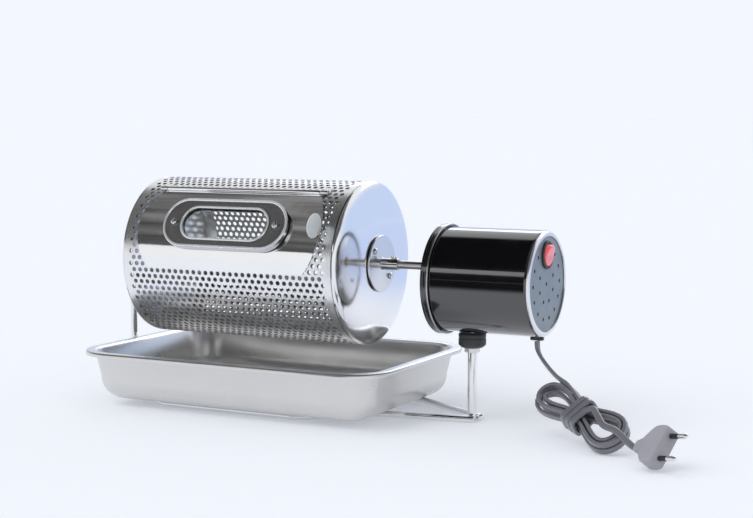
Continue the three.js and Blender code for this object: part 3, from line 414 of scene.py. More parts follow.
def banded(rings, closed=False):
    """Faces between rings with equal numbers of points; closed also joins the last ring to the first."""
    size, count = len(rings[0]), len(rings)
    faces = []
    for k in range(count if closed else count - 1):
        a, b = k * size, (k + 1) % count * size
        for j in range(size):
            i = (j + 1) % size
            faces.append([a + j, a + i, b + i, b + j])
    return [p for ring in rings for p in ring], faces


def swept(rings):
    """A body over a row of rings, closed at both ends."""
    points, faces = banded(rings)
    size = len(rings[0])
    return points, [*faces, list(range(size))[::-1], list(range(len(points) - size, len(points)))]


def thickened(sheet_points, sheet_faces, outer, inner):
    """Gives a flat sheet of (x, s) points two skins and walls along every open edge."""
    count = len(sheet_points)
    points = [outer(*p) for p in sheet_points] + [inner(*p) for p in sheet_points]
    faces = [list(face) for face in sheet_faces]
    faces += [[count + k for k in reversed(face)] for face in sheet_faces]
    edges = dict.fromkeys(edge for face in sheet_faces for edge in sides_of(face))
    for a, b in edges:
        if (b, a) not in edges:
            faces.append([b, a, count + a, count + b])
    return points, faces


def inside(p, loop):
    """Whether a point lies within a closed outline."""
    hit = False
    for a, b in sides_of(loop):
        if (a[1] > p[1]) != (b[1] > p[1]) and p[0] < a[0] + (p[1] - a[1]) / (b[1] - a[1]) * (b[0] - a[0]):
            hit = not hit
    return hit


def filled(outline, holes):
    """Triangles of a flat outline less its holes, each a list of 2-D points."""
    points, edges = [], []
    for loop in [outline, *holes]:
        start = len(points)
        points += [Vector(p) for p in loop]
        edges += [(start + k, start + (k + 1) % len(loop)) for k in range(len(loop))]
    found, _, faces, *_ = delaunay_2d_cdt(points, edges, [], 0, 1e-7)
    kept = []
    for face in faces:
        mid = sum((found[k] for k in face), Vector((0, 0))) / len(face)
        if inside(mid, outline) and not any(inside(mid, hole) for hole in holes):
            a, b, c = (found[k] for k in face)
            area = (b - a).x * (c - a).y - (b - a).y * (c - a).x
            kept.append(list(face) if area > 0 else list(reversed(face)))
    return [tuple(p) for p in found], kept


def circle(radius, centre=(0, 0), sides=24):
    turns = round_angles(sides)
    return [(centre[0] + radius * cos(a), centre[1] + radius * sin(a)) for a in turns]


def stadium(size, grow=0.0, steps=24):
    """A slot with round ends, its length and height in size, grown by a border all round."""
    length, height = size[0] + 2 * grow, size[1] + 2 * grow
    r = height / 2
    made = []
    for side in (1, -1):
        for k in range(steps + 1):
            across, up = polar(r, 180 * k / steps - 90)
            made.append((side * (length / 2 - r + across), side * up))
    return made


def spaced(line, steps):
    """Points at equal spacing along a line, both its ends among them."""
    lengths = [0.0]
    for a, b in zip(line, line[1:]):
        lengths.append(lengths[-1] + dist(a, b))
    made, k = [], 0
    for step in range(steps + 1):
        want = lengths[-1] * step / steps
        while k < len(line) - 2 and lengths[k + 1] < want:
            k += 1
        share = (want - lengths[k]) / max(lengths[k + 1] - lengths[k], 1e-9)
        made.append(Vector(line[k]).lerp(Vector(line[k + 1]), share))
    return made


def evenly(loop, count):
    """Points at equal spacing round a closed outline."""
    return spaced([*loop, loop[0]], count)[:-1]


def on_drum(radius):
    """Maps a place along the drum and an angle up from the front, in degrees, to a point."""
    def point(x, angle):
        back, up = polar(radius, angle)
        return DRUM + Vector((x, -back, up))
    return point


def facing(angle):
    """A frame whose X runs along the drum and whose Z points out of it at an angle up from the front."""
    back, up = polar(1, angle)
    out = Vector((0, -back, up))
    return Matrix((Vector((1, 0, 0)), out.cross(Vector((1, 0, 0))), out)).transposed()


# The camera

camera_data = bpy.data.cameras.new("camera")
camera = bpy.data.objects.new("camera", camera_data)
scene.collection.objects.link(camera)
camera_data.lens = 73.97
camera_data.sensor_width = 36.0
camera_data.clip_start = 0.05
looking = Vector((-0.45889351, 0.88349651, -0.09407792))
right = Vector((0.88742050, 0.46096072, 0.00027293))
camera_at = Vector((715.733 + DRUM.x, -1166.752 + DRUM.y, 256.021)) * MM
camera_turn = Matrix((right, -looking.cross(right), -looking)).transposed()
camera.matrix_world = Matrix.Translation(camera_at) @ camera_turn.to_4x4()
scene.camera = camera

# The cord: a lead, a hank of four runs, wraps round its waist and a tail to the plug

CORD_WIDE, CORD_THICK = 5.4, 3.2
hank_top, hank_end = DRUM + Vector((270, -20, -93.2)), DRUM + Vector((353, -72, -116.6))
HANK_TURN, HANK_TURNS, HANK_PITCH, HANK_LAYER = 38, 2, 4.2, 6
HANK_WAIST, HANK_LOBES, LOBE_BLEND, HANK_SWERVE = 7.4, (13.5, 15.5), 0.25, 1.5
hank_along = (hank_end - hank_top).normalized()
hank_level = Vector((-hank_along.y, hank_along.x, 0)).normalized()
hank_across = turned(HANK_TURN, hank_along) @ hank_level
hank_through = hank_along.cross(hank_across)
hank_middle, hank_half = (hank_top + hank_end) / 2, (hank_end - hank_top).length / 2


def in_hank(along, across, through):
    return hank_middle + hank_along * along + hank_across * across + hank_through * through


def lobe_shape(s):
    return s * s / sqrt(s * s + LOBE_BLEND)


lobe_reaches = [(cos(radians(k)), lobe_shape(sin(radians(k)))) for k in range(90)]
widest = max(lobe_reaches, key=lambda reach: reach[0] * reach[1])


def hank_line(turn):
    """A figure with two lobes and a waist, flat in the hank's plane."""
    c, s = cos(2 * pi * turn), sin(2 * pi * turn)
    lobe = (HANK_LOBES[0 if s < 0 else 1] - widest[0] * HANK_WAIST) / (widest[0] * widest[1])
    return Vector((hank_half * s, c * (HANK_WAIST + lobe * lobe_shape(s))))


def hank_point(turn):
    """The cord's middle: it winds inwards in one layer, climbs, and winds outwards in the next."""
    here, way = hank_line(turn), (hank_line(turn + 1e-3) - hank_line(turn - 1e-3)).normalized()
    reversal = HANK_TURNS - 0.25
    climb = clamped((turn - reversal + 0.15) / 0.3, 0, 1)
    climb = climb * climb * (3 - 2 * climb)
    swerve = HANK_SWERVE * sin(pi * clamped(2 * (turn - reversal) + 0.5, 0, 1)) ** 2
    inset = HANK_PITCH * (reversal - abs(turn - reversal)) + swerve
    return in_hank(here.x + way.y * inset, here.y - way.x * inset, HANK_LAYER * (0.5 - climb))


HANK_START, HANK_STOP, HANK_STEPS = -0.1, 2 * HANK_TURNS - 0.055, 190
hank_points = []
for k in range(HANK_STEPS + 1):
    hank_points.append(hank_point(HANK_START + (HANK_STOP - HANK_START) * k / HANK_STEPS))
WRAP_TURNS, WRAP_PITCH, WRAP_ROUND, WRAP_SIDE, WRAP_EDGE = 2.72, 5.9, 3.7, 8.6, 4.2
WRAP_STEPS = 130
wrap_front = WRAP_EDGE + WRAP_ROUND


def wrap_point(turn):
    """A place on the wraps, whose turns are rectangles with round corners."""
    angle = radians(-8 - 360 * turn)
    c, s = cos(angle), sin(angle)
    across = WRAP_SIDE * clamped(2.5 * c, -1, 1) + WRAP_ROUND * c
    through = WRAP_EDGE * clamped(2.5 * s, -1, 1) + WRAP_ROUND * s
    return in_hank((turn - WRAP_TURNS / 2) * WRAP_PITCH, across, through)


CURVE_FINE = 40
KNOT_PAIRS = ((0, 1), (1, 2), (2, 3)), ((0, 2), (1, 3)), ((1, 2),)


def curve_through(points, steps):
    """A centripetal Catmull-Rom curve through the points, at equal spacing."""
    ends = [points[0] * 2 - points[1], *points, points[-1] * 2 - points[-2]]
    fine = []
    for four in zip(ends, ends[1:], ends[2:], ends[3:]):
        knots = [0.0]
        for a, b in zip(four, four[1:]):
            knots.append(knots[-1] + max((b - a).length, 1e-6) ** 0.5)
        for k in range(CURVE_FINE):
            t = knots[1] + (knots[2] - knots[1]) * k / CURVE_FINE
            level = four
            for pairs in KNOT_PAIRS:
                shares = [(t - knots[i]) / (knots[j] - knots[i]) for i, j in pairs]
                level = [a.lerp(b, share) for a, b, share in zip(level, level[1:], shares)]
            fine.append(level[0])
    return spaced([*fine, points[-1]], steps)


gland_x, gland_end = middle_of("strain_relief").x, box_of("strain_relief")[0].z
into_hank = (hank_points[0] - hank_points[1]).normalized()
lead_points = curve_through([
    Vector((gland_x, axis_y, gland_end - 0.6)),
    Vector((gland_x + 1, axis_y - 0.5, gland_end - 8)),
    Vector((gland_x + 4.4, axis_y - 1.5, gland_end - 13.7)),
    Vector((gland_x + 20.5, axis_y - 11.5, gland_end - 25.6)),
    hank_points[0] + into_hank * 3.8,
    hank_points[0] + into_hank * 0.3,
], 24)
out_of_hank = (hank_points[-1] - hank_points[-2]).normalized()
wrap_turn = [wrap_point(WRAP_TURNS * k / WRAP_STEPS) for k in range(WRAP_STEPS + 1)]
wrap_lead = curve_through([
    hank_points[-1] + out_of_hank * 0.3,
    hank_points[-1] + out_of_hank * 2.3,
    in_hank(-11.4, WRAP_SIDE + WRAP_ROUND, -2.4),
    wrap_turn[2],
    wrap_turn[4],
], 20)[:-3]
wrap_points = [*wrap_lead, *wrap_turn[4:]]
PLUG_LENGTH = 34
plug_turn = turned(-37, "Z") @ turned(-10.9, "Y") @ turned(-39.1, "X")
plug_face = DRUM + Vector((397.5, -106.5, -109.8))
plug_way = plug_turn @ Vector((1, 0, 0))
plug_rear = plug_face - plug_way * (PLUG_LENGTH + 0.3)
out_of_wrap = (wrap_points[-1] - wrap_points[-2]).normalized()
tail_points = curve_through([
    wrap_points[-1] + out_of_wrap * 0.6,
    wrap_points[-1] + out_of_wrap * 2.6,
    in_hank(12.5, 6.5, wrap_front + 0.3),
    in_hank(19, 5, wrap_front + 0.6),
    in_hank(34, 0, wrap_front + 1),
    in_hank(48, 1, wrap_front + 2),
    plug_rear - plug_way * 5,
    plug_rear,
], 44)


def twin_section(sides=20):
    """Outline of a flat twin cord: two round cores side by side with a groove between."""
    made = []
    for k in range(sides):
        angle = 2 * pi * (k + 0.5) / sides
        wide = cos(angle) * CORD_WIDE / 2
        off_core = (abs(wide) - CORD_WIDE * 0.22) / (CORD_WIDE * 0.28)
        least = 0.12 if abs(wide) > CORD_WIDE * 0.45 else 0.7
        swell = max(sqrt(max(0, 1 - off_core ** 2)), least)
        made.append((wide, copysign(CORD_THICK / 2 * swell, sin(angle))))
    return made


def cord_mesh():
    """The cord's path and skin; each stretch lays its flat side in its own way."""
    path = [*lead_points[:-1], *hank_points, *wrap_points, *tail_points[1:]]
    wrap_from = len(lead_points) - 1 + len(hank_points)
    round_from, tail_from = wrap_from + len(wrap_lead), wrap_from + len(wrap_points)
    section = twin_section()
    rings, last = [], None
    for k, (here, way) in enumerate(zip(path, ways_along(path))):
        if k < wrap_from:
            wide = hank_through
        elif k < round_from:
            wide = way.cross(hank_across)
        elif k < tail_from:
            wide = hank_along
        else:
            wide = hank_through.cross(way)
        wide = (wide - way * wide.dot(way)).normalized()
        if last is not None:
            wide = (-wide if wide.dot(last) < 0 else wide) * 0.6 + last * 0.4
            wide = (wide - way * wide.dot(way)).normalized()
        last = wide
        thick = way.cross(wide)
        rings.append([here + wide * a + thick * b for a, b in section])
    return path, *swept(rings)


cord_path, *cord_skin = cord_mesh()
cord_nodes = "cord_lead cord_hank cord_wrap cord_tail"
cord = piece("twin_cord", *cord_skin, cord_grey, "stand", cord_nodes, 50)

# The plug


def read_off(table, x):
    """The value at x on a line through (x, value) points."""
    for (x0, v0), (x1, v1) in zip(table, table[1:]):
        if x <= x1 + 1e-9:
            t = (x - x0) / (x1 - x0)
            return v0 + (v1 - v0) * t
    return table[-1][1]


def plug_shape():
    """Flat moulded body: its outline drawn in the wide plane, its sides crowned, its neck ribbed."""
    half, wall, corner = 16, 6.5, 2.4
    outline = [(-1, 0.28), (-0.86, 0.3), (-0.72, 0.36), (-0.6, 0.6), (-0.42, 0.95), (-0.3, 1)]
    outline += [(-0.12, 1), (-0.02, 0.93), (0, 0.9)]
    rings = []
    for k in range(41):
        x = -1 + k / 40
        thin = 0.52 + 0.48 * clamped((x + 1) / 0.5, 0, 1) ** 0.7
        inset = 1.2 * (1 - sqrt(max(0, 1 - clamped((x + 0.05) / 0.05, 0, 1) ** 2)))
        if -0.97 < x < -0.72 and k % 3 == 1:
            inset += 0.45
        h, w = read_off(outline, x) * half - inset, thin * wall - inset
        corners = [(w, h, corner), (-w, h, corner), (-w, -h, corner), (w, -h, corner)]
        rings.append([(x * PLUG_LENGTH, a, b) for a, b in rounded(corners, corner, 4)])
    points, faces = swept(rings)
    return [plug_face + plug_turn @ Vector(p) for p in points], faces


plug_parts = [piece("plug_moulding", *plug_shape(), plug_grey, "stand", "plug_body", 40)]
sleeve = rounded([(2.0, 0.3), (2.0, 9.5), (1.6, 9.7), (1.6, 0.3)], 0.15)
pin = [(0, 0.3), (1.75, 0.3), (1.75, 9), (1.95, 9.8), (1.95, 17.2, 1.2), (1.4, 18.9, 1.0), (0, 19)]
pin = rounded(pin, 0.1, 4, False)
for k, side in enumerate((-1, 1), 1):
    seat = plug_face + plug_turn @ Vector((0, 0, side * 9.5))
    metal = turned_piece(
        f"plug_pin_metal_{k}", pin, seat, screw_steel, "stand", f"plug_pin_{k}", plug_turn, 32)
    cover = turned_piece(f"plug_pin_sleeve_{k}", sleeve, seat, sleeve_black, "stand", "", plug_turn, 32)
    plug_parts += [metal, cover]

# The drum

DRUM_R, DRUM_HALF, SHELL = 70.0, 103.5, 0.8
DOOR_LOW, HINGE_ANGLE, DOOR_COVER = -4.4, 58.0, 6.0
DOOR_INNER, DOOR_OUTER = 70.5, 71.5
DOOR_HALF, DOOR_BULGE = 91, 14
KNUCKLE, KNUCKLE_BORE, PIN_R, DOOR_EDGE = 2.1, 1.25, 1.0, 77.0
door_high = HINGE_ANGLE - degrees(1.15 / DOOR_OUTER)
door_half_arc = radians(door_high - DOOR_LOW) * DOOR_OUTER / 2
door_end_radius = (door_half_arc ** 2 + DOOR_BULGE ** 2) / (2 * DOOR_BULGE)


def door_half(share):
    """Half the door's length at a share of its height; its ends are arcs."""
    along = (2 * share - 1) * door_half_arc
    return DOOR_HALF - door_end_radius + sqrt(door_end_radius ** 2 - along ** 2)


def door_outline(steps, low, high, inset=0.0):
    """The door's outline as (place along, angle), from its lower edge to its upper one."""
    made = []
    for k in range(steps + 1):
        share = k / steps
        made.append((door_half(share) - inset, low + (high - low) * share))
    return made + [(-x, angle) for x, angle in reversed(made)]


ROWS, COLUMNS, HOLE_R, HOLE_SIDES = 82, 32, 2.0, 12
HOLE_PITCH = 2 * pi * DRUM_R / ROWS / (sqrt(3) / 2)
LAND = 1.2


def perforated_shell():
    """Staggered round holes in six-sided cells, with plain bands round them and round the door's opening."""
    per_degree = radians(1) * DRUM_R
    low, high = DOOR_LOW + DOOR_COVER / per_degree, HINGE_ANGLE - DOOR_COVER / per_degree
    points, index, faces = [], {}, []

    def at(x, angle):
        key = (round(x, 2), round((angle % 360) * 100) % 36000)
        if key not in index:
            index[key] = len(points)
            points.append((x, angle))
        return index[key]

    def meets_opening(x, angle):
        reach = door_half(clamped((angle - low) / (high - low), 0, 1)) - DOOR_COVER + LAND
        return abs(x) < reach and low - LAND < angle < high + LAND

    cell = []
    for k in range(HOLE_SIDES):
        cell.append((HOLE_PITCH / sqrt(3) if k % 2 else HOLE_PITCH / 2, radians(30 * k)))
    for row in range(ROWS):
        angle = row * 360 / ROWS - 90
        for column in range(COLUMNS - row % 2):
            x = (column - (COLUMNS - 1 - row % 2) / 2) * HOLE_PITCH
            edge = [(x + r * cos(a), angle + r * sin(a) / per_degree) for r, a in cell]
            if any(meets_opening(*p) for p in edge):
                continue
            hole = [(x + HOLE_R * cos(a), angle + HOLE_R * sin(a) / per_degree) for _, a in cell]
            outer, inner = [at(*p) for p in edge], [at(*p) for p in hole]
            for k in range(HOLE_SIDES):
                j = (k + 1) % HOLE_SIDES
                faces.append([inner[k], outer[k], outer[j], inner[j]])
    used = dict.fromkeys(edge for face in faces for edge in sides_of(face))
    rims = {k for face in faces for k in (face[0], face[3])}
    open_edges = [(a, b) for a, b in used if (b, a) not in used and not (a in rims and b in rims)]
    limit = (COLUMNS / 2 - 1) * HOLE_PITCH
    for side in (1, -1):
        rim = {k for edge in open_edges for k in edge if side * points[k][0] > limit}
        rim = sorted(rim, key=lambda k: points[k][1] % 360)
        ends = [at(side * DRUM_HALF, points[k][1]) for k in rim]
        for k in range(len(rim)):
            j = (k + 1) % len(rim)
            face = [rim[k], ends[k], ends[j], rim[j]]
            faces.append(face if side > 0 else face[::-1])
    around = {b: a for a, b in open_edges if max(abs(points[a][0]), abs(points[b][0])) <= limit}
    loop = [next(iter(around))]
    while around[loop[-1]] != loop[0]:
        loop.append(around[loop[-1]])
    flat = [(points[k][0], ((points[k][1] + 180) % 360 - 180) * per_degree) for k in loop]
    opening = [(x, angle * per_degree) for x, angle in door_outline(24, low, high, DOOR_COVER)]
    found, triangles = filled(flat, [opening])
    numbers = [at(x, s / per_degree) for x, s in found]
    for face in triangles:
        if len({numbers[k] for k in face}) == 3:
            faces.append([numbers[k] for k in face])
    return thickened(points, faces, on_drum(DRUM_R), on_drum(DRUM_R - SHELL))


shell = piece("drum_perforated", *perforated_shell(), drum_steel, "drum", "drum_shell", 25)
# The inner skin and the holes' walls take the darker steel of painted shade.
shell.data.materials.append(inside_steel)
for face in shell.data.polygons:
    if (face.center - DRUM * MM).yz.length < (DRUM_R - 0.2) * MM:
        face.material_index = 1

CAP_TOP, CAP_FOOT, CAP_SKIRT = 10.3, 0.9, -8
CAP_RISE = CAP_TOP - CAP_FOOT


def dome(angle, lift=0.0):
    """The dished end: nearly flat in the middle, then falling ever faster to the shell's edge."""
    r = DRUM_R * sin(radians(angle))
    return (r, CAP_FOOT + lift + CAP_RISE * max(0.0, 1 - (r / DRUM_R) ** 2.1) ** 0.56)


cap_profile = [(68.9, CAP_SKIRT), (68.9, 0.3), (69.7, 0.3), (70, 0.6)]
cap_profile += [dome(angle) for angle in range(90, 3, -2)]
cap_profile += [(3.9, CAP_TOP - 0.3), (3.9, CAP_TOP - 1)]
cap_profile += [(min(r, 67.9), x) for r, x in (dome(angle, -1) for angle in range(4, 76, 4))]
cap_profile.append((67.9, CAP_SKIRT))
HUB_FACE, HUB_END = 1.8, 17.8
hub_profile = [(3.8, 0.3, 0), (24.4, 0.3, 0.3), (24.4, HUB_FACE, 0.5), (4.9, HUB_FACE, 0.8)]
hub_profile = rounded([*hub_profile, (4.9, HUB_END, 0.5), (3.8, HUB_END, 0.3)], 0.4)
grub_profile = [(0, -1.2, 0), (1.5, -1.2), (1.5, 0), (2.75, 0), (2.8, 1.7, 0.5), (1.5, 1.8, 0.1)]
grub_profile = rounded([*grub_profile, (1.3, 0.9, 0), (0, 0.9, 0)], 0.15, 3, False)
SCREW_HEAD = [(0, -5), (1.5, -5), (1.5, 0), (2.55, 0), (2.8, 0.25), (2.72, 0.7), (2.4, 1.15), (2.0, 1.42)]
SCREW_HEAD += [(1.6, 1.6), (1.2, 1.72), (0.8, 1.78), (0.4, 1.8), (0, 1.8)]


def crossed_screw(name, centre, turn, body, node):
    """A dome screw with a cross recess pressed into its head."""
    points, faces = spun(SCREW_HEAD, (0, 0, 0), "X", 32)
    shaped = []
    for p in points:
        if p.x > 1.3:
            near, reach = sorted((abs(p.y), abs(p.z)))
            depth = clamped((0.42 - near) / 0.2, 0, 1) * clamped((1.75 - reach) / 0.4, 0, 1)
            p = Vector((p.x - 0.75 * depth, p.y, p.z))
        shaped.append(Vector(centre) + turn @ p)
    return piece(name, shaped, faces, screw_steel, body, node, 30)


for side, axis in (("right", "X"), ("left", "-X")):
    turn = AXES[axis]
    edge = DRUM + turn @ Vector((DRUM_HALF, 0, 0))
    top = DRUM + turn @ Vector((DRUM_HALF + CAP_TOP, 0, 0))
    turned_piece(f"end_cap_{side}", cap_profile, edge, mirror_steel, "drum", f"cap_{side}", axis, 192, 40)
    turned_piece(f"hub_{side}", hub_profile, top, plate_steel, "drum", f"hub_plate_{side}", axis)
    for k in (1, 2):
        across, up = polar(18, 180 * k - 40)
        place = top + turn @ Vector((HUB_FACE + 0.3, across, up))
        crossed_screw(f"hub_dome_screw_{side}_{k}", place, turn, "drum", f"hub_screw_{side}_{k}")
    place = top + turn @ Vector((HUB_FACE + 11, 0, 5.2))
    turned_piece(
        f"grub_screw_{side}", grub_profile, place, screw_steel, "drum", f"set_screw_{side}", "Z", 24)

shaft_line = Vector((0, axis_y, axis_z))
for name, node in (("motor_shaft", "drive_shaft"), ("end_shaft", "stub_shaft")):
    low, high = box_of(node)
    profile = rod_profile(3.5, low.x, high.x, 0.5)
    turned_piece(name, profile, shaft_line, shaft_steel, "drum", node, sides=48)

# The door

WINDOW_ANGLE, SIGHT, PLATE, PLATE_TOP = 27.0, (84, 27), (123, 45), 77.5


def door_sheet():
    """The curved panel: rings of faces from the window's opening out to the door's edge."""
    per_degree = radians(1) * DOOR_OUTER
    count, rows, middle = 160, 14, 33.5

    def bearing(p):
        return atan2(p[1] - middle, p[0])

    edge = [(x, angle * per_degree) for x, angle in door_outline(32, DOOR_LOW, door_high)]
    outer = evenly(edge, count)
    inner = evenly([(x, s + WINDOW_ANGLE * per_degree) for x, s in stadium(SIGHT)], count)
    start = min(range(count), key=lambda k: abs(bearing(outer[k]) - bearing(inner[0])))
    outer = outer[start:] + outer[:start]
    rings = []
    for k in range(rows + 1):
        line = [a.lerp(b, k / rows) for a, b in zip(inner, outer)]
        rings.append([(x, s / per_degree) for x, s in line])
    points, faces = banded(rings)
    outward = [[a, d, c, b] for a, b, c, d in faces]
    return thickened(points, outward, on_drum(DOOR_OUTER), on_drum(DOOR_INNER))


hinge_line = on_drum(DOOR_INNER + KNUCKLE)(0, HINGE_ANGLE)


def hinge_loop(low, high):
    return spun(tube_profile(KNUCKLE_BORE, KNUCKLE, low, high, 0, 0.3), hinge_line, "X", 32)


door = merged(door_sheet(), hinge_loop(-DOOR_EDGE, DOOR_EDGE))
piece("door_sheet", *door, door_steel, "door", "door_panel", 30)
EAR_GAP, EAR_WIDE, EAR_ARC = 0.3, 7, 6.8
pin_half = DOOR_EDGE + EAR_GAP + EAR_WIDE
turned_piece(
    "door_hinge_pin", rod_profile(PIN_R, -pin_half, pin_half, 0.4), hinge_line, shaft_steel, "drum",
    "hinge_pin", sides=24)
for side, sign in (("left", -1), ("right", 1)):
    x0, x1 = sorted((sign * (DOOR_EDGE + EAR_GAP), sign * (DOOR_EDGE + EAR_GAP + EAR_WIDE)))
    low_r, high_r = DRUM_R + 0.3, DRUM_R + 1.3
    strip = []
    for k in range(9):
        angle = HINGE_ANGLE + 1.2 + EAR_ARC * k / 8
        corners = ((low_r, x0), (low_r, x1), (high_r, x1), (high_r, x0))
        strip.append([on_drum(r)(x, angle) for r, x in corners])
    ear = merged(hinge_loop(x0, x1), swept(strip))
    piece(f"hinge_ear_{side}", *ear, plate_steel, "drum", f"hinge_foot_{side}")

window_turn = facing(WINDOW_ANGLE)
WINDOW_SIDES = 144
OUTER_BANDS = ((-0.2, 1.6), (0, 0.9), (-0.2, 0.35), (-0.75, 0), (-1.4, 0), (-1.95, 0.2), (-2.3, 0.55),
               (-2.6, 0.65))
SIGHT_BANDS = ((2.6, 0.65), (2.0, 0.55), (1.5, 0.2), (1.0, 0.05), (0.5, 0.15), (0.1, 0.5), (0, 1.4),
               (3.2, 1.4))


def on_window(points):
    return [DRUM + window_turn @ p for p in points]


def window_plate():
    """Flat plate with rolled rims round its outside and its sight, its skirts reaching down to the door."""
    def level(size, grow, drop):
        loop = evenly(stadium(size, grow), WINDOW_SIDES)
        return [Vector((x, y, PLATE_TOP - drop)) for x, y in loop]

    def skirt(size, grow, clear):
        loop = evenly(stadium(size, grow), WINDOW_SIDES)
        return [Vector((x, y, sqrt((DOOR_OUTER + clear) ** 2 - y ** 2))) for x, y in loop]

    rings = [skirt(PLATE, -1.1, 0.35), skirt(PLATE, -1.1, 1.3), skirt(PLATE, -0.5, 1.5)]
    rings += [level(PLATE, grow, drop) for grow, drop in OUTER_BANDS]
    rings += [level(SIGHT, grow, drop) for grow, drop in SIGHT_BANDS]
    points, faces = banded([*rings, skirt(SIGHT, 3.2, 0.35)], closed=True)
    return on_window(points), faces


plate = piece("window_plate", *window_plate(), window_satin, "door", "window_frame", 40)
# The rolled rims round the outside and round the sight take the painted highlight.
plate.data.materials.append(painted_highlight_steel)
# The skirts reaching down to the door take the near-black painted shade of the gap.
plate.data.materials.append(gap_painted_shade)
PAINTED_HIGHLIGHT_BANDS, GAP_SHADE_BANDS = (*range(3, 9), *range(12, 17)), (0, 1, 18, 19)
for number, face in enumerate(plate.data.polygons):
    band = number // WINDOW_SIDES
    face.material_index = 1 if band in PAINTED_HIGHLIGHT_BANDS else 2 if band in GAP_SHADE_BANDS else 0


def pane():
    """The glass, a flat slab with its edges taken off."""
    top = PLATE_TOP - 1.7
    rings = []
    for grow, z in ((2.7, top - 2.5), (3, top - 2.2), (3, top - 0.3), (2.7, top)):
        rings.append([Vector((x, y, z)) for x, y in stadium(SIGHT, grow)])
    points, faces = swept(rings)
    return on_window(points), faces


piece("window_pane", *pane(), glass, "door", "window_glass", 30)
turn = window_turn @ AXES["Z"]
for k, x in enumerate((-50.5, 50.5), 1):
    place = DRUM + window_turn @ Vector((x, 0, PLATE_TOP + 0.3))
    crossed_screw(f"window_dome_screw_{k}", place, turn, "door", f"window_screw_{k}")

TAB_TURN, TAB_AT, TAB_CENTRE, TAB_R, TAB_ANGLE = 8, 90.6, 82.4, 10.4, 26.2
TAB_FOOT = ((0.5, -3.6), (0.5, 3.6), (-0.5, 3.6), (-0.5, -3.6))


def round_tab():
    """A flat disc that stands on the door by its edge, on a short welded foot."""
    turn = facing(TAB_ANGLE) @ turned(-TAB_TURN, "Z")
    middle = DRUM + Vector((TAB_AT, 0, 0)) + facing(TAB_ANGLE) @ Vector((0, 0, TAB_CENTRE))
    edge = [(TAB_R - 0.5, -0.5), (TAB_R - 0.1, -0.35), (TAB_R, 0), (TAB_R - 0.1, 0.35), (TAB_R - 0.5, 0.5)]
    disc = spun([(0, -0.5), *edge, (0, 0.5)], middle, turn)
    foot = []
    for lift in (0, 0.6, 2.2):
        ring = []
        for x, y in TAB_FOOT:
            z = sqrt((DOOR_OUTER + 0.35) ** 2 - y * y) - TAB_CENTRE + lift
            ring.append(middle + turn @ Vector((x, y, z)))
        foot.append(ring)
    return merged(disc, swept(foot))


piece("round_tab", *round_tab(), tab_finish, "door", "door_tab", 30)

# The stand

ROD_R, ROD_WIDE, ROD_TALL, ROD_BEND, ROD_EDGE = 3.0, 2.9, 2.75, 14, 0.45
POST_X, POST_R, STUB_X, STUB_POST_R = 199.5, 3.75, -145.0, 3.0
rod_z = ROD_R * cos(pi / 8)


def past_post(post_x, post_r, corner, side):
    """Where a rod's straight end stops: just past the post that it touches."""
    offset = post_r + ROD_R + 0.3
    reach = hypot(post_x - corner[0], corner[1])
    way = atan2(-corner[1], post_x - corner[0]) + side * asin(offset / reach)
    run = sqrt(reach ** 2 - offset ** 2) + 4
    return (corner[0] + run * cos(way), corner[1] + run * sin(way))


def bent_rod(corners, side):
    """A floor rod through its corners, each bent round, from one post to the other."""
    start = past_post(POST_X, POST_R, corners[0], side)
    stop = past_post(STUB_X, STUB_POST_R, corners[-1], -side)
    line = [Vector((*corner, 0)) for corner in (start, *corners, stop)]
    path = [line[0]]
    for before, here, after in zip(line, line[1:], line[2:]):
        first = here + (before - here).normalized() * ROD_BEND
        last = here + (after - here).normalized() * ROD_BEND
        path += bent(first, here, last, 10)
    path.append(line[-1])
    rings = []
    for k, (here, way) in enumerate(zip(path, ways_along(path))):
        level = Vector((-way.y, way.x, 0))
        places = [(0, 1)]
        if k == 0:
            places = [(0, 0.8), (ROD_EDGE, 1)]
        elif k == len(path) - 1:
            places = [(-ROD_EDGE, 1), (0, 0.8)]
        for step, size in places:
            centre = Vector((DRUM.x, axis_y, rod_z)) + here + way * step
            wide, tall = level * (ROD_WIDE * size), Vector((0, 0, ROD_TALL * size))
            rings.append([centre + wide * cos(a) + tall * sin(a) for a in round_angles(24)])
    return swept(rings)


front_rod = bent_rod([(117.7, -21.8), (71.8, -66), (-72.5, -66), (-108, -21.8)], -1)
piece("front_rod", *front_rod, rod_steel, "stand", "base_rod_front", 40)
rear_rod = bent_rod([(127.7, 54.1), (89.8, 66), (-72.5, 66), (-108, 23.8)], 1)
piece("rear_rod", *rear_rod, rod_steel, "stand", "base_rod_rear", 40)

post_high = box_of("post_right")[1]
collar_low, collar_high = box_of("lock_collar")
knob_low, knob_high = box_of("clamp_knob")
post_at = Vector((DRUM.x + POST_X, axis_y, 0))
profile = [(0, 0), (POST_R, 0, 0.5), (POST_R, collar_low.z - 0.3, 0.4), (2.5, collar_low.z - 0.3, 0)]
profile = rounded([*profile, (2.5, post_high.z, 0.4), (0, post_high.z)], 0.4, 3, False)
turned_piece("motor_post", profile, post_at, post_steel, "stand", "post_right", "Z", 48)
profile = tube_profile(2.8, 6.5, collar_low.z, collar_high.z, 0.2, 0.5)
# The collar takes the pale steel of painted highlight.
turned_piece("post_collar", profile, post_at, painted_highlight_steel, "stand", "lock_collar", "Z", 6)
z0, z1 = knob_low.z, knob_high.z
profile = [(2.8, z0, 0.2), (9.0, z0, 0.4), (11.5, z0 + 2.2, 0.8), (11.5, z1 - 4.6, 0.3)]
profile += [(11.1, z1 - 4.2, 0.2), (11.1, z1 - 3.6, 0.2), (11.5, z1 - 3.2, 0.3), (11.5, z1 - 0.9, 0.7)]
profile += [(10.6, z1, 0.3), (2.8, z1, 0.2)]
turned_piece("clamp_grip", rounded(profile, 0.4, 4), post_at, dark_plastic, "knob", "clamp_knob", "Z", 72)


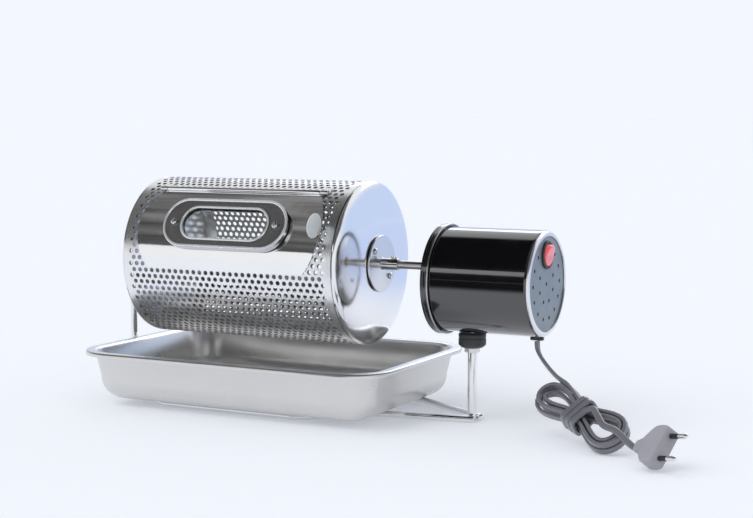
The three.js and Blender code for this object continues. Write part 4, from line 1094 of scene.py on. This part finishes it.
def eye_post():
    """The left post with a round eye on top for the shaft's bush."""
    foot = Vector((DRUM.x + STUB_X, axis_y, 0))
    rod = spun(rod_profile(STUB_POST_R, 0, axis_z - 7.2, 0.5, 0), foot, "Z", 40)
    eye = spun(tube_profile(6.3, 9, -5, 5, 0.3, 0.9), DRUM + Vector((STUB_X, 0, 0)), "X", 64)
    return merged(rod, eye)


piece("eye_post", *eye_post(), post_steel, "stand", "post_left", 40)
profile = tube_profile(3.8, 6, -5.3, 5.3, 0.4, 0.4)
turned_piece("end_bush", profile, DRUM + Vector((STUB_X, 0, 0)), bronze, "stand", "stub_bush", sides=48)

# The motor

CAN_R, LID_R, CAN_LENGTH, END_BEND = 43.5, 46.0, 93.4, 4.2
can_x = CAN.x
can_back = can_x + CAN_LENGTH
can_axis = Vector((0, CAN.y, CAN.z))
bend = (CAN_R - END_BEND, can_back - END_BEND)


def can_piece(name, profile, finish, stands_for, sharp):
    """A round piece on the can's axis."""
    turned_piece(name, profile, can_axis, finish, "stand", stands_for, "X", 160, sharp)


profile = [(CAN_R, can_x + 1.5), *along_arc(*bend, END_BEND, 0, 32, 8)]
profile += [*along_arc(*bend, END_BEND - 1, 32, 0, 8), (CAN_R - 1, can_x + 1.5)]
can_piece("motor_shell", profile, black_enamel, "motor_can", 40)
profile = along_arc(*bend, END_BEND + 0.1, 33, 90, 12)
profile += [(39.0, can_back), (38.8, can_back - 0.4), (38.8, can_back - 1)]
profile += along_arc(*bend, END_BEND - 1, 90, 33, 6)
can_piece("motor_end_ring", profile, ring_steel, "", 40)
BEAD_R = 45.4
profile = along_arc(BEAD_R, can_x + 6.2, 0.75, -90, 246, 14)
can_piece("motor_front_bead", profile, bead_steel, "", 60)
profile = rod_profile(40.6, can_x + 0.2, can_x + 0.8, 0.2)
can_piece("motor_front_disc", profile, ring_steel, "", 30)
LID_PROFILE = [(41, 0.9, 0), (41, 0, 0.3), (44.2, 0, 0), (LID_R, 0.2, 1.3), (LID_R, 2.2, 0.4)]
LID_PROFILE += [(BEAD_R, 2.6, 0.3), (BEAD_R, 4.2, 0.3), (LID_R, 4.6, 0.4), (LID_R, 6, 0.5)]
LID_PROFILE += [(43.8, 6, 0.1), (43.8, 1.2, 0.1), (0, 1.2, 0.4), (0, 0.9, 0)]
profile = rounded([(r, can_x + x, edge) for r, x, edge in LID_PROFILE], 0.4, 4, False)
can_piece("motor_front_ring", profile, black_enamel, "motor_lid", 30)
bush_low, bush_high = box_of("shaft_bush")
profile = rounded([(3.8, bush_low.x), (6, bush_low.x, 0.5), (6, bush_high.x), (3.8, bush_high.x)], 0.3)
turned_piece("front_bush", profile, shaft_line, bronze, "stand", "shaft_bush", sides=48)
for k, side in enumerate((-1, 1), 1):
    place = Vector((can_x - 0.3, CAN.y + side * 20, CAN.z - 13))
    crossed_screw(f"lid_dome_screw_{k}", place, AXES["-X"], "stand", f"motor_screw_{k}")

VENTS = ((0, 1), (15.5, 8), (29, 14))
SWITCH_RISE, SWITCH_HOLE, BEZEL_R, VENT_R = 23.6, 10.3, 11.5, 1.6
plate_low, plate_high = box_of("rear_plate")


def vented_plate():
    """The can's back with rings of vents round its middle, and a hole for the switch."""
    holes = [circle(SWITCH_HOLE, (0, SWITCH_RISE), 48)]
    for radius, count in VENTS:
        for k in range(count):
            a = (k + 0.5) / count * 2 * pi
            y, z = radius * sin(a), -radius * cos(a)
            if hypot(y, z - SWITCH_RISE) > BEZEL_R + 2 * VENT_R:
                holes.append(circle(VENT_R, (y, z), 16))

    def skin(x):
        return lambda y, z: Vector((x, CAN.y + y, CAN.z + z))

    return thickened(*filled(circle(39.5, sides=120), holes), skin(plate_high.x), skin(plate_low.x))


piece("vented_back", *vented_plate(), back_enamel, "stand", "rear_plate", 30)
body_low, body_high = box_of("switch_body")
switch_at = Vector((0, CAN.y, CAN.z + SWITCH_RISE))
back_x, face_x = body_low.x, body_high.x
profile = [(0, back_x), (10, back_x, 0.4), (10, face_x - 1.6, 0), (BEZEL_R, face_x - 1.6, 0.2)]
profile += [(BEZEL_R, face_x - 0.5, 0.3), (10.9, face_x, 0.4), (9.5, face_x, 0.2), (9.5, back_x + 1, 0)]
profile = rounded([*profile, (0, back_x + 1)], 0.3, 3, False)
turned_piece("switch_bezel", profile, switch_at, dark_plastic, "stand", "switch_body", sides=72)


def rocker_lens():
    """Round rocker: two sloping halves with a soft valley between, on a short skirt."""
    half, peak, sides, tip = 8.7, 3.4, 64, 12
    crown = ((1.0, 0.7), (0.985, 0.35), (0.95, 0.1), (0.9, 0), (0.75, 0), (0.55, 0), (0.35, 0), (0.15, 0))
    fall = tan(radians(tip)) * half / 2
    rows = []
    for share, x in ((0.9, -peak), (1.0, -peak + 0.3)):
        rows.append([Vector((x, y, z)) for y, z in circle(half * share, sides=sides)])
    for share, drop in crown:
        row = []
        for y, z in circle(half * share, sides=sides):
            x = peak - fall + fall * sqrt((z / half) ** 2 + 0.01) - drop
            row.append(Vector((x, y, z)))
        rows.append(row)
    points, faces = swept(rows)
    pivot = Vector((face_x - 1.2, switch_at.y, switch_at.z))
    return [pivot + turned(tip, "Y") @ p for p in points], faces


piece("rocker_lens", *rocker_lens(), red_lens_painted_glow, "rocker", "switch_rocker", 40)


def relief():
    """Small cross bar with rounded ends, and the neck that passes into the can."""
    top = box_of("strain_relief")[1].z
    centre = Vector((gland_x, axis_y, 0))
    rings = []
    for rise, grow in ((0, -0.5), (0.5, 0), (2.1, 0), (2.6, -0.5)):
        a, b = 5.5 + grow, 2.7 + grow
        bar = rounded([(a, b), (-a, b), (-a, -b), (a, -b)], 1.6, 5)
        rings.append([centre + Vector((x, y, gland_end + rise)) for x, y in bar])
    neck = spun(rod_profile(3.4, gland_end + 1.3, top, 0.4, 0.6), centre, "Z", 32)
    return merged(swept(rings), neck)


piece("cord_relief", *relief(), dark_plastic, "stand", "strain_relief", 40)

# The tray

TRAY_LENGTH, TRAY_DEPTH, TRAY_CORNER = 298.0, 203.0, 38.0
FLOOR_INSET, FLOOR_BEND = 33.0, 20
TRAY_LIP = [(10.6, 2.7), (9.7, 1.0), (8.9, 0.35), (7.9, 0.1), (6.5, 0.1), (3.6, 0.05), (1.8, 0), (0.9, 0.2)]
TRAY_LIP += [(0.3, 0.7), (0, 1.5), (0, 3.4), (0.3, 3.9), (0.8, 3.9), (1.0, 3.4), (1.0, 1.9), (1.6, 1.1)]
TRAY_LIP += [(2.6, 1.0), (7.2, 1.0), (8.2, 2.2)]


def tray_shape():
    """Rings of rounded rectangles: inside from the floor to the rolled lip, then back down outside."""
    tray_low, tray_high = box_of("bean_tray")
    middle = (tray_low + tray_high) / 2

    def floor_bend(radius):
        made = []
        for k in range(13):
            down, out = polar(radius, 90 * k / 12)
            made.append((FLOOR_INSET - out, tray_low.z + FLOOR_BEND - down))
        return made

    profile = floor_bend(FLOOR_BEND - 1) + [(inset, tray_high.z - drop) for inset, drop in TRAY_LIP]
    profile += floor_bend(FLOOR_BEND)[::-1]
    rings = []
    for inset, z in profile:
        ring = []
        for sx, sy, start in ((1, 1, 0), (-1, 1, 90), (-1, -1, 180), (1, -1, 270)):
            x = middle.x + sx * (TRAY_LENGTH / 2 - TRAY_CORNER)
            y = middle.y + sy * (TRAY_DEPTH / 2 - TRAY_CORNER)
            for across, back in along_arc(x, y, TRAY_CORNER - inset, start, start + 90, 16):
                ring.append(Vector((across, back, z)))
        rings.append(ring)
    return swept(rings)


piece("roasting_tray", *tray_shape(), tray_steel, "tray", "bean_tray", 40)

# Finishes for the solids that keep their own shape

for finish, nodes in (
    (plate_steel, ("stirring_vane_1", "stirring_vane_2", "stirring_vane_3")),
    (plate_steel, ("gear_case", "gear_divider", "stator_case")),
    (bronze, ("drive_gear",)),
    (screw_steel, ("stud_nut",)),
    (shaft_steel, ("motor_rotor",)),
):
    for node in nodes:
        for slot in bpy.data.objects[node].material_slots:
            slot.material = finish

# The studio

PAPER, FAR_PAPER = (0.90, 0.93, 1.0), (0.64, 0.75, 1.0)
FLOOR_GREY, FAR_FLOOR_GREY = (0.86, 0.88, 0.92), (0.58, 0.67, 0.90)
FLOOR_GLOW = 0.255


def step_up(tree, value, low, high):
    """0 under low, 1 over high, smooth between."""
    return spread(tree, value, From_Min=low, From_Max=high, interpolation_type="SMOOTHSTEP")


def seen_rays(tree):
    """1 for rays from the camera and for what metal and glass show, 0 for the light on the object."""
    rays = add_node(tree, "ShaderNodeLightPath").outputs
    shiny = maths(tree, "MAXIMUM", rays["Is Camera Ray"], rays["Is Glossy Ray"])
    return maths(tree, "MAXIMUM", shiny, rays["Is Transmission Ray"])


def mirrored_rays(tree):
    """1 for what metal and enamel mirror, 0 for what is seen straight or through glass."""
    rays = add_node(tree, "ShaderNodeLightPath").outputs
    return times(tree, rays["Is Glossy Ray"], maths(tree, "SUBTRACT", 1.0, rays["Is Transmission Ray"]))


def own_place(tree, axis):
    """The place on the object itself, along one axis."""
    place = add_node(tree, "ShaderNodeTexCoord").outputs["Object"]
    return add_node(tree, "ShaderNodeSeparateXYZ", place).outputs[axis]


def matt(name, colour, roughness=1.0):
    return material(name, Base_Color=colour, Roughness=roughness, Specular_IOR_Level=0.0)


def studio_sheet(name, corners, finish):
    """A flat stage piece through its corners, in metres."""
    mesh = bpy.data.meshes.new(name)
    mesh.from_pydata(corners, [], [(0, 1, 2, 3)])
    mesh.materials.append(finish)
    made = bpy.data.objects.new(name, mesh)
    scene.collection.objects.link(made)
    return made


def mirrored_only(made):
    """Leaves a stage piece in the metal's reflections alone."""
    for rays in ("camera", "diffuse", "shadow", "transmission"):
        setattr(made, f"visible_{rays}", False)


def floor():
    """A floor wide enough for every view: white to the camera and in the metal, with the object's shadow."""
    finish, tree, shader = matt("pale_floor", FLOOR_GREY, 0.9)
    far = times(tree, step_up(tree, own_place(tree, "Y"), 0.25, 0.9), mirrored_rays(tree))
    feed(tree, shader, {
        "Base Color": mixed_colour(tree, far, FLOOR_GREY, FAR_FLOOR_GREY),
        "Emission Color": mixed_colour(tree, far, PAPER, FAR_PAPER),
        "Emission Strength": times(tree, seen_rays(tree), FLOOR_GLOW),
    })
    corners = [(-60, -60, 0), (60, -60, 0), (60, 60, 0), (-60, 60, 0)]
    studio_sheet("studio_floor", corners, finish).location.z = -0.0003


def dark_flag():
    """A black flag in front of the motor with a pale strip over it, seen only in shiny surfaces."""
    left, right, y, top = -0.08, 0.15, -0.335, 0.29
    finish, tree, shader = matt("flag_cloth", (0.01, 0.01, 0.01))
    up = own_place(tree, "Z")
    thin = times(tree, step_up(tree, up, 0.136, 0.139), step_up(tree, up, 0.146, 0.142))
    low = mixed_colour(tree, thin, (0.02, 0.02, 0.02), (0.3, 0.3, 0.32))
    foot = mixed_colour(tree, step_up(tree, up, 0.07, 0.0), low, (0.95, 0.95, 1.0))
    glow = mixed_colour(tree, step_up(tree, up, 0.222, 0.24), foot, (1.5, 1.5, 1.55))
    feed(tree, shader, {"Emission Color": glow, "Emission Strength": 1.0})
    corners = [(left, y, 0), (right, y, 0), (right, y, top), (left, y, top)]
    mirrored_only(studio_sheet("dark_flag", corners, finish))


def dark_canopy():
    """A black sheet high over the motor's front, seen only in shiny surfaces."""
    finish = matt("canopy_cloth", (0.006, 0.006, 0.006))[0]
    corners = [(-0.15, 0.15, 0.62), (0.15, 0.15, 0.62), (0.15, -0.95, 0.62), (-0.33, -0.95, 0.62)]
    mirrored_only(studio_sheet("dark_canopy", corners, finish))


CEILING = ((0.0, 0.07), (0.3, 0.06), (0.36, 0.11), (0.40, 0.05), (0.46, 0.15), (0.58, 0.09), (0.68, 0.17),
           (0.78, 0.10), (0.85, 0.19), (0.92, 0.15), (1.0, 0.22))


def dim_ceiling(tree, way, up):
    """Uneven bands of dark grey by height, for the metal to mirror."""
    ramp = add_node(tree, "ShaderNodeValToRGB", up)
    elements = ramp.color_ramp.elements
    elements[0].position, elements[1].position = CEILING[0][0], CEILING[-1][0]
    for place, _ in CEILING[1:-1]:
        elements.new(place)
    for element, (_, level) in zip(elements, CEILING):
        element.color = (level, level, level, 1)
    clutter = noise(tree, scaled(tree, way, (16, 3, 5)), Scale=1.6, Detail=3.0, Roughness=0.6)
    uneven = spread(tree, clutter, From_Min=0.35, From_Max=0.65, To_Min=0.45, To_Max=1.7)
    return scaled(tree, ramp.outputs[0], uneven)


def sky():
    """White to the camera, soft light on the object, and in the metal a dark ceiling with a bright back."""
    world = bpy.data.worlds.new("studio")
    scene.world = world
    world.use_nodes = True
    tree = world.node_tree
    way = add_node(tree, "ShaderNodeTexCoord").outputs["Generated"]
    _, depth, up = add_node(tree, "ShaderNodeSeparateXYZ", way).outputs
    dim = dim_ceiling(tree, way, up)
    level = times(tree, step_up(tree, up, -0.04, 0.02), step_up(tree, up, 0.38, 0.2))
    bluish = times(tree, step_up(tree, depth, 0.25, 0.6), level)
    pale = mixed_colour(tree, bluish, (0.93, 0.94, 0.96), (0.62, 0.73, 0.98))
    bright = mixed_colour(tree, step_up(tree, depth, 0.72, 0.78), pale, (3.2, 3.2, 3.3))
    high = mixed_colour(tree, step_up(tree, up, 0.33, 0.42), pale, bright)
    overhead = times(tree, step_up(tree, up, 0.225, 0.24), step_up(tree, depth, 0.42, 0.3))
    mirrored = mixed_colour(tree, overhead, high, dim)
    shown = mixed_colour(tree, mirrored_rays(tree), PAPER, mirrored)
    light = mixed_colour(tree, seen_rays(tree), (0.60, 0.61, 0.63), shown)
    feed(tree, tree.nodes["Background"], {"Color": light, "Strength": 1.0})


def soft_key():
    """Even light from one side, too broad to draw a hard shadow and not mirrored in the metal."""
    data = bpy.data.lights.new("soft_key", "SUN")
    data.energy = 0.75
    data.angle = radians(50)
    made = bpy.data.objects.new("soft_key", data)
    scene.collection.objects.link(made)
    made.rotation_euler = Vector((0.45, 0.75, -1.0)).to_track_quat("-Z", "Y").to_euler()
    made.visible_glossy = False


floor()
dark_flag()
dark_canopy()
sky()
soft_key()
scene.view_settings.view_transform = "Standard"
